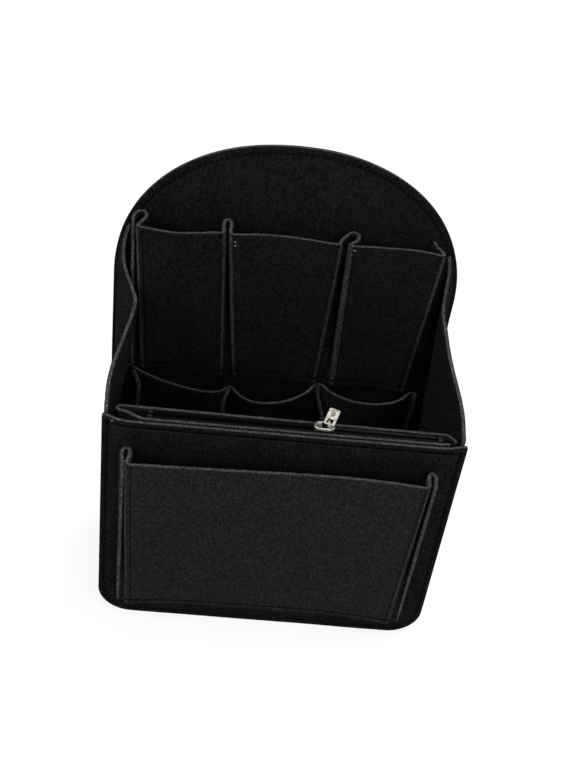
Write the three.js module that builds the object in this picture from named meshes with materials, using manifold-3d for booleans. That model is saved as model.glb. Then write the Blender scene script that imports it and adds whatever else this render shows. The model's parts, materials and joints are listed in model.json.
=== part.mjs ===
// A felt organizer insert that stands inside a bag: a tall arched back panel, a lower front panel,
// one strip of felt for both sides and the base, rows of pleated pockets on the back wall, a zipped
// pouch behind the front panel and a pleated slip pocket in front of it.
// Millimetres, +X to the right, +Y to the back, +Z up. The origin is under the middle of the base.

import * as THREE from 'three';
import { mergeVertices } from 'three/addons/utils/BufferGeometryUtils.js';
import Module from 'manifold-3d';

const wasm = await Module();
wasm.setup();
const alongDepth = new THREE.Vector3(0, 1, 0);
const upwards = new THREE.Vector3(0, 0, 1);

// Driving sizes of the felt shell
const width = 220;
const depth = 99;
const rimHeight = 170.5;
const backHeight = 307.7;
const archRise = 98;
const shoulderHeight = backHeight - archRise;
const cornerRadius = 22;
const felt = 2.8;
const sideInset = 1.5;
const rearLean = -5.9;
const touchGap = 0.3;
const archPower = 2.16;

// The front panel bows forward between its side seams, most near the rim
const bowLeft = 4.6;
const bowRight = 2.9;
const bowBorder = 4.3;
const bowPower = 24;

// The sides' top edge drops from the shoulders to the rim, and bulges inwards
const sideFrontHeight = rimHeight + 2 * touchGap;
const sideRearDrop = 53.7;
const sideRearHeight = backHeight - sideRearDrop;
const rearSeamInset = 2.5;
const leftBulge = 11.6;
const rightBulge = 6.6;
// Height between front and rear height, and bulge, each at a share of the depth from the front
const sideHeightShares = [
  [0, 0], [0.06, 0.06], [0.15, 0.14], [0.3, 0.21], [0.5, 0.28], [0.7, 0.38], [0.82, 0.5], [0.91, 0.71],
  [1, 1],
];
const leftBulgeShares = [
  [0, 0], [0.15, 0.02], [0.28, 0.16], [0.5, 0.58], [0.65, 0.9], [0.74, 1], [0.81, 0.7], [0.88, 0.2],
  [0.94, 0], [1, 0],
];
const rightBulgeShares = [
  [0, 0], [0.2, 0.1], [0.36, 0.3], [0.54, 0.55], [0.75, 0.76], [0.82, 1], [0.88, 0.85], [0.94, 0.35], [1, 0],
];
const bulgeFoot = 92;
const depthSpreadPower = 1.25;

// Tall pockets: one pleated strip across the back wall
const tallDrop = 51.7;
const tallTop = backHeight - tallDrop;
const tallStandoff = 17;
const tallFootStandoff = 2.4;
const columnsPerPlace = 2;
// Places along the strip: share of half the width, share of the standoff
const tallTopShares = [
  [-0.886, 0.62], [-0.882, 0.3], [-0.858, 0], [-0.832, 0.04], [-0.816, 0.36], [-0.838, 0.78],
  [-0.85, 1.1], [-0.76, 1.24], [-0.66, 1.33], [-0.55, 1.22], [-0.435, 1.03], [-0.4, 0.98],
  [-0.386, 0.86], [-0.39, 0.45], [-0.383, 0.08], [-0.368, 0], [-0.353, 0.08], [-0.346, 0.45],
  [-0.35, 0.86], [-0.336, 1.02], [-0.3, 1], [-0.2, 0.86], [-0.05, 0.8], [0.1, 0.86], [0.22, 0.96],
  [0.256, 0.94], [0.262, 0.74], [0.292, 0.34], [0.326, 0.03], [0.35, 0], [0.368, 0.2], [0.352, 0.58],
  [0.312, 0.9], [0.334, 0.99], [0.4, 0.93], [0.52, 0.88], [0.66, 0.84], [0.76, 0.89], [0.8, 0.98],
  [0.823, 1.02], [0.836, 0.96], [0.837, 0.85], [0.824, 0.64], [0.804, 0.34], [0.797, 0.04],
];
const tallFootShares = [
  [-0.868, 0.8], [-0.866, 0.4], [-0.85, 0], [-0.836, 0.1], [-0.828, 0.4], [-0.82, 0.8], [-0.8, 1],
  [-0.74, 0.7], [-0.62, 0], [-0.5, 0.3], [-0.37, 1], [-0.335, 1], [-0.32, 0.8], [-0.31, 0.4],
  [-0.3, 0.1], [-0.285, 0], [-0.27, 0.1], [-0.26, 0.4], [-0.25, 0.8], [-0.235, 1], [-0.2, 1],
  [-0.1, 0.3], [0, 0], [0.12, 0.4], [0.215, 1], [0.24, 1], [0.255, 0.7], [0.267, 0.3], [0.28, 0],
  [0.305, 0], [0.32, 0.3], [0.335, 0.7], [0.35, 1], [0.38, 1], [0.44, 0.8], [0.52, 0.3], [0.66, 0],
  [0.715, 0.5], [0.765, 1], [0.79, 1], [0.803, 0.9], [0.811, 0.72], [0.817, 0.48], [0.823, 0.24],
  [0.83, 0],
];

// Short pockets: a second strip below, bulging forward between four sewn seams
const shortStandoff = 17;
const shortTopShares = [
  [-0.905, 0], [-0.874, 0], [-0.86, 0.05], [-0.82, 0.22], [-0.74, 0.42], [-0.6, 0.58],
  [-0.45, 0.58], [-0.35, 0.44], [-0.3, 0.22], [-0.275, 0.01], [-0.25, 0.01], [-0.236, 0.14],
  [-0.19, 0.6], [-0.1, 1.08], [0, 1.2], [0.1, 1.08], [0.2, 0.66], [0.258, 0.14], [0.272, 0.01],
  [0.297, 0.01], [0.311, 0.14], [0.37, 0.6], [0.47, 0.9], [0.59, 0.97], [0.72, 0.8], [0.8, 0.46],
  [0.848, 0.08], [0.862, 0.01], [0.9, 0],
];
const shortFootShare = 0.45;
const shortSeamShares = [-0.888, -0.2625, 0.2845, 0.886];
// Height of the strip's top edge, and how much of its dip it has at a share of half the width
const shortTop = 138;
const shortDip = 11;
const shortDipShares = [
  [-1, 0], [-0.87, 0], [-0.6, 0.5], [-0.28, 1], [-0.01, 0.5], [0.29, 0.05], [0.6, 0.15], [1, 0.1],
];
const stripGap = 1.2;
const tallBottom = shortTop + stripGap;

// Front slip pocket: a pleated strip on the front panel
const slipDrop = 18.5;
const slipTop = rimHeight - slipDrop;
const slipBottom = 15;
const slipStandoff = 13;
const slipFootStandoff = 4;
const slipTopShares = [
  [-0.86, 1.02], [-0.871, 0.6], [-0.872, 0.2], [-0.86, 0.02], [-0.843, 0.02], [-0.831, 0.25],
  [-0.831, 0.6], [-0.84, 0.98], [-0.822, 1.1], [-0.76, 1.08], [-0.5, 1.02], [-0.2, 0.92],
  [0.1, 0.82], [0.35, 0.8], [0.6, 0.88], [0.74, 1], [0.786, 1.02], [0.8, 0.86], [0.803, 0.5],
  [0.812, 0.12], [0.828, 0.02], [0.845, 0.16], [0.843, 0.55], [0.834, 0.98],
];
const slipFootShares = [
  [-0.876, 0.4], [-0.87, 0.2], [-0.862, 0.05], [-0.852, 0], [-0.842, 0.02], [-0.834, 0.2], [-0.826, 0.5],
  [-0.818, 0.8], [-0.805, 1], [-0.74, 0.8], [-0.5, 0.2], [-0.2, 0], [0.1, 0], [0.35, 0], [0.6, 0.4],
  [0.74, 0.9], [0.775, 1], [0.79, 0.8], [0.8, 0.4], [0.812, 0.05], [0.826, 0], [0.838, 0.15],
  [0.846, 0.35], [0.852, 0.5],
];

// Zipped pouch: one felt sheet, folded tightly at its left end beside the rear wall
const chainSetback = 0.2;
const chainY = -depth / 2 + 2 * felt + touchGap + chainSetback;
const pouchGap = 6.6;
const foldRadius = 2.2;
const sweepInset = 26;
const pouchInset = 7;
const pouchEnd = width / 2 - pouchInset;
const tailLength = 6.5;
const tailReach = 5.4;
const facingInset = 11;
const facingEnd = width / 2 - facingInset;

// Zip
const zipLeftInset = 27;
const zipRightInset = 15;
const zipLeft = -width / 2 + zipLeftInset;
const zipRight = width / 2 - zipRightInset;
const tapeHeight = 12;
const tapeThickness = 0.5;
const tapeRise = 0.1;
const rowWidth = 1.5;
const rowHeight = 1.6;
const rowDrop = 0.6;
const stopLength = 3;
const stopWall = 0.5;

// Slider and its pull
const sliderX = 22.5;
const sliderLength = 13.5;
const sliderWidth = 7.4;
const plate = 1.2;
const keelWidth = 4.2;
const postLength = 4;
const postWidth = 1;
const postSetback = 2.7;
const rimWall = 1;
const rimRise = 0.7;
const bailWire = 1.1;
const bailSpan = 4.2;
const bailRise = 3.4;
const bailX = 2.2;
const pullWidth = 7;
const pullLength = 11;
const pullThickness = 1.1;
const pullWindowWidth = 3.6;
const pullWindowLength = 3;
const pullBar = 1.3;
const pullLean = 58;
const pullTwist = 25;
const bossRadius = 1.5;
const bossRise = 0.5;

// Seam threads that lie on the felt
const thread = 0.7;
const threadGap = 0.35;
const panelSeam = 4;
const archSeam = 5;
const rimSeam = 5;
const pocketSeam = 4;
const pocketEdge = 18;
const slipSeamEnd = 12;

const blackFelt = 0x1b1a1c;
const blackTape = 0x121113;
const blackThread = 0x242326;
const nickel = 0xb9b8b0;

// Values along a table of [place, value] pairs, with a smooth curve between them
function curveThrough(table) {
  const points = table.map(([place, value]) => new THREE.Vector2(place, value));
  return (place) => {
    let i = 0;
    while (i < points.length - 2 && place > points[i + 1].x) i += 1;
    const slope = (k) => {
      const a = points[Math.max(k - 1, 0)];
      const b = points[Math.min(k + 1, points.length - 1)];
      return (b.y - a.y) / (b.x - a.x);
    };
    const [a, b] = [points[i], points[i + 1]];
    const span = b.x - a.x;
    const t = THREE.MathUtils.clamp((place - a.x) / span, 0, 1);
    const [s1, s2] = [slope(i) * span, slope(i + 1) * span];
    const rise = b.y - a.y;
    return a.y + s1 * t + (3 * rise - 2 * s1 - s2) * t * t + (s1 + s2 - 2 * rise) * t * t * t;
  };
}

// A closed sheet of even thickness around a grid of points: grid[i][j] is on its middle surface.
// Its thickness is measured square to the level axis, so that its cut edges there stay level.
function sheetGeometry(grid, thickness, level) {
  const columns = grid.length;
  const rows = grid[0].length;
  const positions = [];
  const normalAt = (i, j) => {
    const along = grid[Math.min(i + 1, columns - 1)][j].clone().sub(grid[Math.max(i - 1, 0)][j]);
    const up = grid[i][Math.min(j + 1, rows - 1)].clone().sub(grid[i][Math.max(j - 1, 0)]);
    return along.cross(up).projectOnPlane(level).normalize();
  };
  for (const side of [1, -1]) {
    for (let i = 0; i < columns; i += 1) {
      for (let j = 0; j < rows; j += 1) {
        const offset = normalAt(i, j).multiplyScalar((side * thickness) / 2);
        positions.push(...grid[i][j].clone().add(offset).toArray());
      }
    }
  }
  const faces = [];
  const front = (i, j) => i * rows + j;
  const back = (i, j) => columns * rows + i * rows + j;
  const quad = (a, b, c, d) => faces.push(a, b, c, a, c, d);
  for (let i = 0; i < columns - 1; i += 1) {
    for (let j = 0; j < rows - 1; j += 1) {
      quad(front(i, j), front(i + 1, j), front(i + 1, j + 1), front(i, j + 1));
      quad(back(i, j), back(i, j + 1), back(i + 1, j + 1), back(i + 1, j));
    }
    const top = rows - 1;
    quad(front(i, 0), back(i, 0), back(i + 1, 0), front(i + 1, 0));
    quad(front(i, top), front(i + 1, top), back(i + 1, top), back(i, top));
  }
  for (let j = 0; j < rows - 1; j += 1) {
    const end = columns - 1;
    quad(front(0, j), front(0, j + 1), back(0, j + 1), back(0, j));
    quad(front(end, j), back(end, j), back(end, j + 1), front(end, j + 1));
  }
  const geometry = new THREE.BufferGeometry();
  geometry.setAttribute('position', new THREE.Float32BufferAttribute(positions, 3));
  geometry.setIndex(faces);
  return geometry;
}

// A grid of points from place(u, v), with u and v running from 0 to 1
function gridOf(columns, rows, place) {
  const grid = [];
  for (let i = 0; i <= columns; i += 1) {
    const column = [];
    for (let j = 0; j <= rows; j += 1) column.push(place(i / columns, j / rows));
    grid.push(column);
  }
  return grid;
}

// How far the front panel bows forward at (x, z)
function bowAt(x, z) {
  const reach = width / 2 - bowBorder;
  const share = Math.min(Math.abs(x) / reach, 1);
  const amount = THREE.MathUtils.lerp(bowLeft, bowRight, x / width + 1 / 2);
  return amount * (1 - share ** bowPower) * THREE.MathUtils.smoothstep(z, 0, rimHeight);
}

// Middle of the front panel's felt, and of the sheet that lies against it inside
const frontPanelY = (x, z) => -depth / 2 + felt / 2 - bowAt(x, z);
const frontFaceY = (x, z) => frontPanelY(x, z) - felt / 2;
const backFaceY = depth / 2 - felt;

// Sideways shift of the body, from none at the front to the whole lean at the back
const leanAt = (y) => rearLean * THREE.MathUtils.clamp(y / depth + 1 / 2, 0, 1);

// Half width of the front panel at a height: its lower corners are round
function panelHalfWidth(z) {
  if (z >= cornerRadius) return width / 2;
  const drop = cornerRadius - z;
  return width / 2 - cornerRadius + Math.sqrt(cornerRadius ** 2 - drop ** 2);
}

// Half width of the back panel, with its arch above the shoulders
function archHalfWidth(z) {
  if (z <= shoulderHeight) return width / 2;
  const rise = Math.min((z - shoulderHeight) / (backHeight - shoulderHeight), 1);
  return (width / 2) * (1 - rise ** archPower) ** (1 / archPower);
}

// Heights that fall closer together round the lower corner
function cornerHeights(top, cornerSteps, upperSteps) {
  const heights = [];
  for (let i = 0; i < cornerSteps; i += 1) {
    const turn = (i / cornerSteps) * (Math.PI / 2);
    heights.push(cornerRadius * (1 - Math.cos(turn)));
  }
  for (let i = 0; i <= upperSteps; i += 1) {
    heights.push(THREE.MathUtils.lerp(cornerRadius, top, i / upperSteps));
  }
  return heights;
}

// The front panel is flat in its borders, outside the first and last column of the bow
function frontPanel() {
  const heights = cornerHeights(rimHeight, 5, 7);
  const columns = 22;
  const bowColumns = columns - 2;
  const grid = gridOf(columns, heights.length - 1, (u, v) => {
    const z = heights[Math.round(v * (heights.length - 1))];
    const column = Math.round(u * columns);
    const half = panelHalfWidth(z);
    const turn = ((column - 1) / bowColumns) * Math.PI;
    const inBow = column > 0 && column < columns;
    const x = inBow ? -Math.cos(turn) * (half - bowBorder) : Math.sign(column - 1) * half;
    return new THREE.Vector3(x, frontPanelY(x, z), z);
  });
  return sheetGeometry(grid, felt, upwards);
}

// Outline of the back panel, taken in by an inset: base, sides and arch
function backOutline(inset) {
  const shape = new THREE.Shape();
  const half = width / 2 - inset;
  const radius = cornerRadius - inset;
  shape.moveTo(-half + radius, inset);
  shape.lineTo(half - radius, inset);
  shape.absarc(half - radius, inset + radius, radius, -Math.PI / 2, 0);
  shape.lineTo(half, shoulderHeight);
  const steps = 36;
  for (let i = 1; i < steps; i += 1) {
    const turn = (i / steps) * Math.PI;
    const across = Math.sign(Math.cos(turn)) * Math.abs(Math.cos(turn)) ** (2 / archPower);
    const up = Math.sin(turn) ** (2 / archPower);
    shape.lineTo(half * across, shoulderHeight + (backHeight - inset - shoulderHeight) * up);
  }
  shape.lineTo(-half, shoulderHeight);
  shape.lineTo(-half, inset + radius);
  shape.absarc(-half + radius, inset + radius, radius, Math.PI, (3 * Math.PI) / 2);
  return shape;
}

function backPanel() {
  const options = { depth: felt, bevelEnabled: false, curveSegments: 6 };
  const geometry = new THREE.ExtrudeGeometry(backOutline(0), options);
  geometry.rotateX(Math.PI / 2);
  geometry.translate(rearLean, depth / 2, 0);
  return geometry;
}

// The side's top edge at a share of the depth
const heightShare = curveThrough(sideHeightShares);
const sideTop = (share) => THREE.MathUtils.lerp(sideFrontHeight, sideRearHeight, heightShare(share));

// How far the outside of a side lies inside the panels' edges, at a share of the depth and a height
const bulgeShare = { left: curveThrough(leftBulgeShares), right: curveThrough(rightBulgeShares) };
function sideInsetAt(side, share, z) {
  const rear = width / 2 - archHalfWidth(z) + rearSeamInset;
  const seam = THREE.MathUtils.lerp(sideInset, rear, share);
  const bulge = (side === 'left' ? leftBulge : rightBulge) * bulgeShare[side](share);
  return seam + bulge * THREE.MathUtils.smoothstep(z, bulgeFoot, sideTop(share));
}

// One strip of felt: down the left side, across the base and up the right side
function sideBaseStrip() {
  const sideSteps = 9;
  const cornerSteps = 5;
  const baseSteps = 5;
  const columns = 2 * (sideSteps + cornerSteps) + baseSteps;
  const ends = depth / 2 - felt - touchGap;
  const wall = (side, share, y, z) => {
    const sign = side === 'left' ? -1 : 1;
    const x = sign * (width / 2 - sideInsetAt(side, share, z) - felt / 2) + leanAt(y);
    return new THREE.Vector3(x, y, z);
  };
  const corner = (side, share, y, turn) => {
    const sign = side === 'left' ? -1 : 1;
    const inset = sideInsetAt(side, share, 0);
    const radius = cornerRadius - felt / 2;
    const x = width / 2 - inset - cornerRadius + radius * Math.cos(turn);
    return new THREE.Vector3(sign * x + leanAt(y), y, cornerRadius - radius * Math.sin(turn));
  };
  return sheetGeometry(gridOf(columns, 16, (u, v) => {
    const share = 1 - (1 - v) ** depthSpreadPower;
    const y = THREE.MathUtils.lerp(-ends, ends, share);
    const step = Math.round(u * columns);
    const side = step <= columns / 2 ? 'left' : 'right';
    const i = side === 'left' ? step : columns - step;
    if (i <= sideSteps) {
      const z = THREE.MathUtils.lerp(sideTop(share), cornerRadius, i / sideSteps);
      return wall(side, share, y, z);
    }
    if (i <= sideSteps + cornerSteps) {
      return corner(side, share, y, ((i - sideSteps) / cornerSteps) * (Math.PI / 2));
    }
    const left = corner('left', share, y, Math.PI / 2);
    const right = corner('right', share, y, Math.PI / 2);
    return left.lerp(right, (step - sideSteps - cornerSteps) / baseSteps);
  }), felt, alongDepth);
}

// Lowest height that a sheet inside the body can reach at x, over the base and its round corners
function floorAt(x, lean) {
  const radius = cornerRadius - felt - touchGap;
  const straight = width / 2 - rearSeamInset - cornerRadius;
  const past = Math.min(Math.max(Math.abs(x - lean) - straight + felt, 0), radius);
  return cornerRadius - Math.sqrt(radius ** 2 - past ** 2);
}

// Places of a pleated strip in millimetres: along the wall, and away from it
const inSizes = (shares, standoff, shift) => shares.map(([x, y]) => [(x * width) / 2 + shift, y * standoff]);

// A strip of felt that stands against a wall: its path runs from its foot places to its top places
function pocketStrip({ top, foot, rows, lowest, highest, wallY }) {
  const columns = (top.length - 1) * columnsPerPlace;
  const curves = [];
  for (let j = 0; j <= rows; j += 1) {
    const points = top.map(([x, standoff], k) => {
      const rise = j / rows;
      return new THREE.Vector3(
        THREE.MathUtils.lerp(foot[k][0], x, rise),
        THREE.MathUtils.lerp(foot[k][1], standoff, rise),
        0,
      );
    });
    curves.push(new THREE.CatmullRomCurve3(points, false, 'centripetal'));
  }
  return sheetGeometry(gridOf(columns, rows, (u, v) => {
    const { x, y: standoff } = curves[Math.round(v * rows)].getPoint(u);
    const z = THREE.MathUtils.lerp(lowest(x), highest(x), v);
    return new THREE.Vector3(x, wallY(x, z) - touchGap - felt / 2 - standoff, z);
  }), felt, upwards);
}

const tallPockets = () => pocketStrip({
  top: inSizes(tallTopShares, tallStandoff, rearLean),
  foot: inSizes(tallFootShares, tallFootStandoff, rearLean),
  rows: 4,
  lowest: () => tallBottom,
  highest: () => tallTop,
  wallY: () => backFaceY,
});

const shortDipAt = curveThrough(shortDipShares);
const shortPockets = () => pocketStrip({
  top: inSizes(shortTopShares, shortStandoff, rearLean),
  foot: inSizes(shortTopShares, shortStandoff * shortFootShare, rearLean),
  rows: 4,
  lowest: (x) => floorAt(x, rearLean) + touchGap,
  highest: (x) => shortTop - shortDip * shortDipAt((2 * (x - rearLean)) / width),
  wallY: () => backFaceY,
});

const slipPocket = () => pocketStrip({
  top: inSizes(slipTopShares, slipStandoff, 0),
  foot: inSizes(slipFootShares, slipFootStandoff, 0),
  rows: 5,
  lowest: () => slipBottom,
  highest: () => slipTop,
  wallY: frontFaceY,
});

// Middle of the pouch's rear wall and of its front layer
const pouchRearY = chainY + pouchGap / 2 + felt / 2;
const pouchFrontY = (x, z) => frontPanelY(x, z) + felt + touchGap;

// The pouch sheet in plan at a height: the front layer from its right end, its sweep away from the
// front panel, the fold at the left, the rear wall, and its tail that bends towards the front panel
const pouchSteps = { front: 15, sweep: 6, fold: 8, rear: 7, tail: 3 };
function pouchPlan(z) {
  const foldX = -pouchEnd + felt / 2 + foldRadius;
  const foldY = pouchRearY - foldRadius;
  const sweepX = -width / 2 + sweepInset;
  const tailX = pouchEnd - tailLength;
  const plan = [];
  const add = (x, y) => plan.push(new THREE.Vector3(x, y, z));
  for (let i = 0; i < pouchSteps.front; i += 1) {
    const x = THREE.MathUtils.lerp(facingEnd, sweepX, i / pouchSteps.front);
    add(x, pouchFrontY(x, z));
  }
  for (let i = 0; i < pouchSteps.sweep; i += 1) {
    const share = i / pouchSteps.sweep;
    const x = THREE.MathUtils.lerp(sweepX, foldX, share);
    const back = THREE.MathUtils.smoothstep(share, 0, 1);
    add(x, THREE.MathUtils.lerp(pouchFrontY(x, z), foldY - foldRadius, back));
  }
  for (let i = 0; i < pouchSteps.fold; i += 1) {
    const turn = (i / pouchSteps.fold) * Math.PI;
    add(foldX - foldRadius * Math.sin(turn), foldY - foldRadius * Math.cos(turn));
  }
  for (let i = 0; i < pouchSteps.rear; i += 1) {
    add(THREE.MathUtils.lerp(foldX, tailX, i / pouchSteps.rear), pouchRearY);
  }
  for (let i = 0; i <= pouchSteps.tail; i += 1) {
    const share = i / pouchSteps.tail;
    add(tailX + tailLength * share, pouchRearY - tailReach * share ** 2);
  }
  return plan;
}

function zipPouch() {
  const rows = 6;
  const top = pouchPlan(rimHeight);
  const grid = top.map((end, i) => {
    const column = [];
    for (let j = 0; j <= rows; j += 1) {
      const z = THREE.MathUtils.lerp(floorAt(end.x, 0) + touchGap, rimHeight, j / rows);
      column.push(pouchPlan(z)[i]);
    }
    return column;
  });
  return sheetGeometry(grid, felt, upwards);
}

// Zip tapes and rows follow the felt on their side of the chain
const tapeTop = rimHeight + tapeRise;
const frontTapeY = (x) => pouchFrontY(x, rimHeight) + felt / 2 + touchGap + tapeThickness / 2;
const rearTapeY = () => pouchRearY - felt / 2 - touchGap - tapeThickness / 2;

function zipStrip(y, left, right, low, high, thickness) {
  return sheetGeometry(gridOf(16, 1, (u, v) => {
    const x = THREE.MathUtils.lerp(left, right, u);
    return new THREE.Vector3(x, y(x), THREE.MathUtils.lerp(low, high, v));
  }), thickness, upwards);
}
const rowTop = rimHeight - rowDrop + rowHeight / 2;
const rowOffset = tapeThickness / 2 + touchGap + rowWidth / 2;
const frontRowY = (x) => frontTapeY(x) + rowOffset;
const rearRowY = () => rearTapeY() - rowOffset;
const zipTape = (y) => zipStrip(y, zipLeft, zipRight, tapeTop - tapeHeight, tapeTop, tapeThickness);
const stopReach = stopLength + touchGap;
const zipRow = (y) => (
  zipStrip(y, zipLeft + stopReach, zipRight - stopReach, rowTop - rowHeight, rowTop, rowWidth)
);

// Joins and cuts
function toSolid(geometry) {
  const bare = geometry.clone();
  bare.deleteAttribute('normal');
  bare.deleteAttribute('uv');
  const merged = mergeVertices(bare);
  return new wasm.Manifold(new wasm.Mesh({
    numProp: 3,
    vertProperties: new Float32Array(merged.attributes.position.array),
    triVerts: new Uint32Array(merged.index.array),
  }));
}
function fromSolid(solid) {
  const mesh = solid.getMesh();
  const geometry = new THREE.BufferGeometry();
  geometry.setAttribute('position', new THREE.Float32BufferAttribute(mesh.vertProperties, 3));
  geometry.setIndex([...mesh.triVerts]);
  return geometry;
}

// A flat-topped oval prism between two heights
function oval(length, breadth, low, high) {
  const shape = new THREE.Shape();
  const radius = breadth / 2;
  const reach = (length - breadth) / 2;
  shape.absarc(reach, 0, radius, -Math.PI / 2, Math.PI / 2);
  shape.absarc(-reach, 0, radius, Math.PI / 2, (3 * Math.PI) / 2);
  const options = { depth: high - low, bevelEnabled: false, curveSegments: 8 };
  const geometry = new THREE.ExtrudeGeometry(shape, options);
  geometry.translate(0, 0, low);
  return geometry;
}
function block(length, breadth, low, high) {
  const geometry = new THREE.BoxGeometry(length, breadth, high - low);
  geometry.translate(0, 0, (low + high) / 2);
  return geometry;
}

// Slider: a crown plate over the rim, a keel plate between the tapes, and a post that joins them
const crownLow = rimHeight + touchGap + plate / 2;
const crownHigh = crownLow + plate;
const keelHigh = rowTop - rowHeight - touchGap;
function sliderBody() {
  const crown = toSolid(oval(sliderLength, sliderWidth, crownLow, crownHigh + rimRise));
  const dishLength = sliderLength - 2 * rimWall;
  const dishWidth = sliderWidth - 2 * rimWall;
  const dish = toSolid(oval(dishLength, dishWidth, crownHigh, crownHigh + 2 * rimRise));
  const keel = toSolid(oval(sliderLength - plate, keelWidth, keelHigh - plate, keelHigh));
  const post = block(postLength, postWidth, keelHigh - plate / 2, crownLow + plate / 2);
  post.translate(-postSetback, 0, 0);
  return fromSolid(crown.subtract(dish).add(keel).add(toSolid(post)));
}

// Bail: a small arch of wire that spans the crown from front to back
function sliderBail() {
  const reach = bailSpan / 2;
  const base = crownHigh + touchGap;
  const foot = bailRise - reach;
  const points = [new THREE.Vector3(bailX, -reach, base)];
  for (let i = 0; i <= 8; i += 1) {
    const turn = Math.PI * (i / 8);
    points.push(new THREE.Vector3(bailX, -reach * Math.cos(turn), base + foot + reach * Math.sin(turn)));
  }
  points.push(new THREE.Vector3(bailX, reach, base));
  const path = new THREE.CatmullRomCurve3(points, false, 'centripetal');
  const section = new THREE.Shape();
  section.absarc(0, 0, bailWire / 2, 0, 2 * Math.PI);
  const options = { steps: 14, extrudePath: path, bevelEnabled: false, curveSegments: 4 };
  return new THREE.ExtrudeGeometry(section, options);
}

// Pull: a tab with a window near its pivot bar and a small boss at its far end; it hangs from the bail
const pivotZ = crownHigh + rimRise + touchGap + pullBar / 2;
function pullTab() {
  const half = pullWidth / 2;
  const corner = pullWidth / 4;
  const shape = new THREE.Shape();
  shape.moveTo(-half + corner, pullLength - pullBar / 2);
  shape.quadraticCurveTo(-half, pullLength - pullBar / 2, -half, pullLength - pullBar / 2 - corner);
  shape.lineTo(-half, -pullBar / 2);
  shape.lineTo(half, -pullBar / 2);
  shape.lineTo(half, pullLength - pullBar / 2 - corner);
  shape.quadraticCurveTo(half, pullLength - pullBar / 2, half - corner, pullLength - pullBar / 2);
  const window = new THREE.Path();
  const side = pullWindowWidth / 2;
  window.moveTo(-side, pullBar / 2);
  window.lineTo(-side, pullBar / 2 + pullWindowLength);
  window.lineTo(side, pullBar / 2 + pullWindowLength);
  window.lineTo(side, pullBar / 2);
  shape.holes.push(window);
  const options = { depth: pullThickness, bevelEnabled: false, curveSegments: 4 };
  const tab = new THREE.ExtrudeGeometry(shape, options);
  tab.translate(0, 0, -pullThickness / 2);
  const boss = new THREE.CylinderGeometry(bossRadius, bossRadius, pullThickness + bossRise, 16);
  boss.rotateX(Math.PI / 2);
  boss.translate(0, pullLength - pullBar / 2 - half, bossRise / 2);
  return fromSolid(toSolid(tab).add(toSolid(boss)));
}

// Stops: a clamp on each row at the left end, and a block across both rows at the right end
function zipStop(x, y, halfWidth) {
  const geometry = block(stopLength, 2 * halfWidth, rowTop - rowHeight - stopWall, rowTop + stopWall / 2);
  geometry.translate(x, y, 0);
  return geometry;
}

// A seam thread laid along a list of points
function threadGeometry(points, steps) {
  const path = new THREE.CatmullRomCurve3(points, false, 'centripetal');
  const half = thread / 2;
  const section = new THREE.Shape();
  section.moveTo(-half, -half);
  section.lineTo(half, -half);
  section.lineTo(half, half);
  section.lineTo(-half, half);
  return new THREE.ExtrudeGeometry(section, { steps, extrudePath: path, bevelEnabled: false });
}

// Points of a thread that lies on the front of the front panel, given as [x, z] places
const threadStep = threadGap + thread / 2;
const onFront = (places) => places.map(([x, z]) => new THREE.Vector3(x, frontFaceY(x, z) - threadStep, z));

function frontSeamPlaces() {
  const half = width / 2 - panelSeam;
  const radius = cornerRadius - panelSeam;
  const places = [];
  for (let i = 0; i <= 5; i += 1) {
    places.push([-half, THREE.MathUtils.lerp(rimHeight - rimSeam, cornerRadius, i / 5)]);
  }
  for (let i = 1; i <= 6; i += 1) {
    const turn = (i / 6) * (Math.PI / 2);
    places.push([-half + radius - radius * Math.cos(turn), cornerRadius - radius * Math.sin(turn)]);
  }
  const mirrored = places.map(([x, z]) => [-x, z]).reverse();
  return [...places, ...mirrored];
}

function rimSeamPlaces() {
  const places = [];
  const half = width / 2 - 2 * panelSeam;
  for (let i = 0; i <= 24; i += 1) {
    places.push([-Math.cos((i / 24) * Math.PI) * half, rimHeight - rimSeam]);
  }
  return places;
}

// The arch's stitch line on the front of the back panel
function archSeamPoints() {
  const outline = backOutline(archSeam).getPoints(6).filter((p) => p.y > sideRearHeight + archSeam);
  const y = backFaceY - threadStep;
  return outline.map((p) => new THREE.Vector3(p.x + rearLean, y, p.y));
}

// The seam round the back of the back panel
function backSeamPoints() {
  const y = depth / 2 + threadStep;
  return backOutline(archSeam).getPoints(6).map((p) => new THREE.Vector3(p.x + rearLean, y, p.y));
}

// A straight seam up the front of the short strip, where it is sewn flat to the back panel
function shortSeamPoints(share) {
  const x = (share * width) / 2 + rearLean;
  const y = backFaceY - touchGap - felt - threadStep;
  const low = floorAt(x, rearLean) + pocketSeam;
  const high = shortTop - shortDip * shortDipAt(share) - pocketSeam;
  return [low, (low + high) / 2, high].map((z) => new THREE.Vector3(x, y, z));
}

// A curve through the places of a strip's table that lie between two shares of half the width
const faceOf = (table, [from, to]) => curveThrough(table.filter(([x]) => x >= from && x <= to));

// The slip pocket's bottom seam, in front of its face between the pleats
const slipFaceShares = [-0.76, 0.76];
const slipTopFace = faceOf(slipTopShares, slipFaceShares);
const slipFootFace = faceOf(slipFootShares, slipFaceShares);
function slipHemPoints() {
  const z = slipBottom + pocketSeam;
  const rise = pocketSeam / (slipTop - slipBottom);
  const half = width / 2 - pocketEdge - slipSeamEnd;
  const points = [];
  for (let i = 0; i <= 12; i += 1) {
    const x = THREE.MathUtils.lerp(-half, half, i / 12);
    const share = (2 * x) / width;
    const foot = slipFootStandoff * slipFootFace(share);
    const standoff = THREE.MathUtils.lerp(foot, slipStandoff * slipTopFace(share), rise);
    points.push(new THREE.Vector3(x, frontFaceY(x, z) - touchGap - felt - standoff - threadStep, z));
  }
  return points;
}

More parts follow.
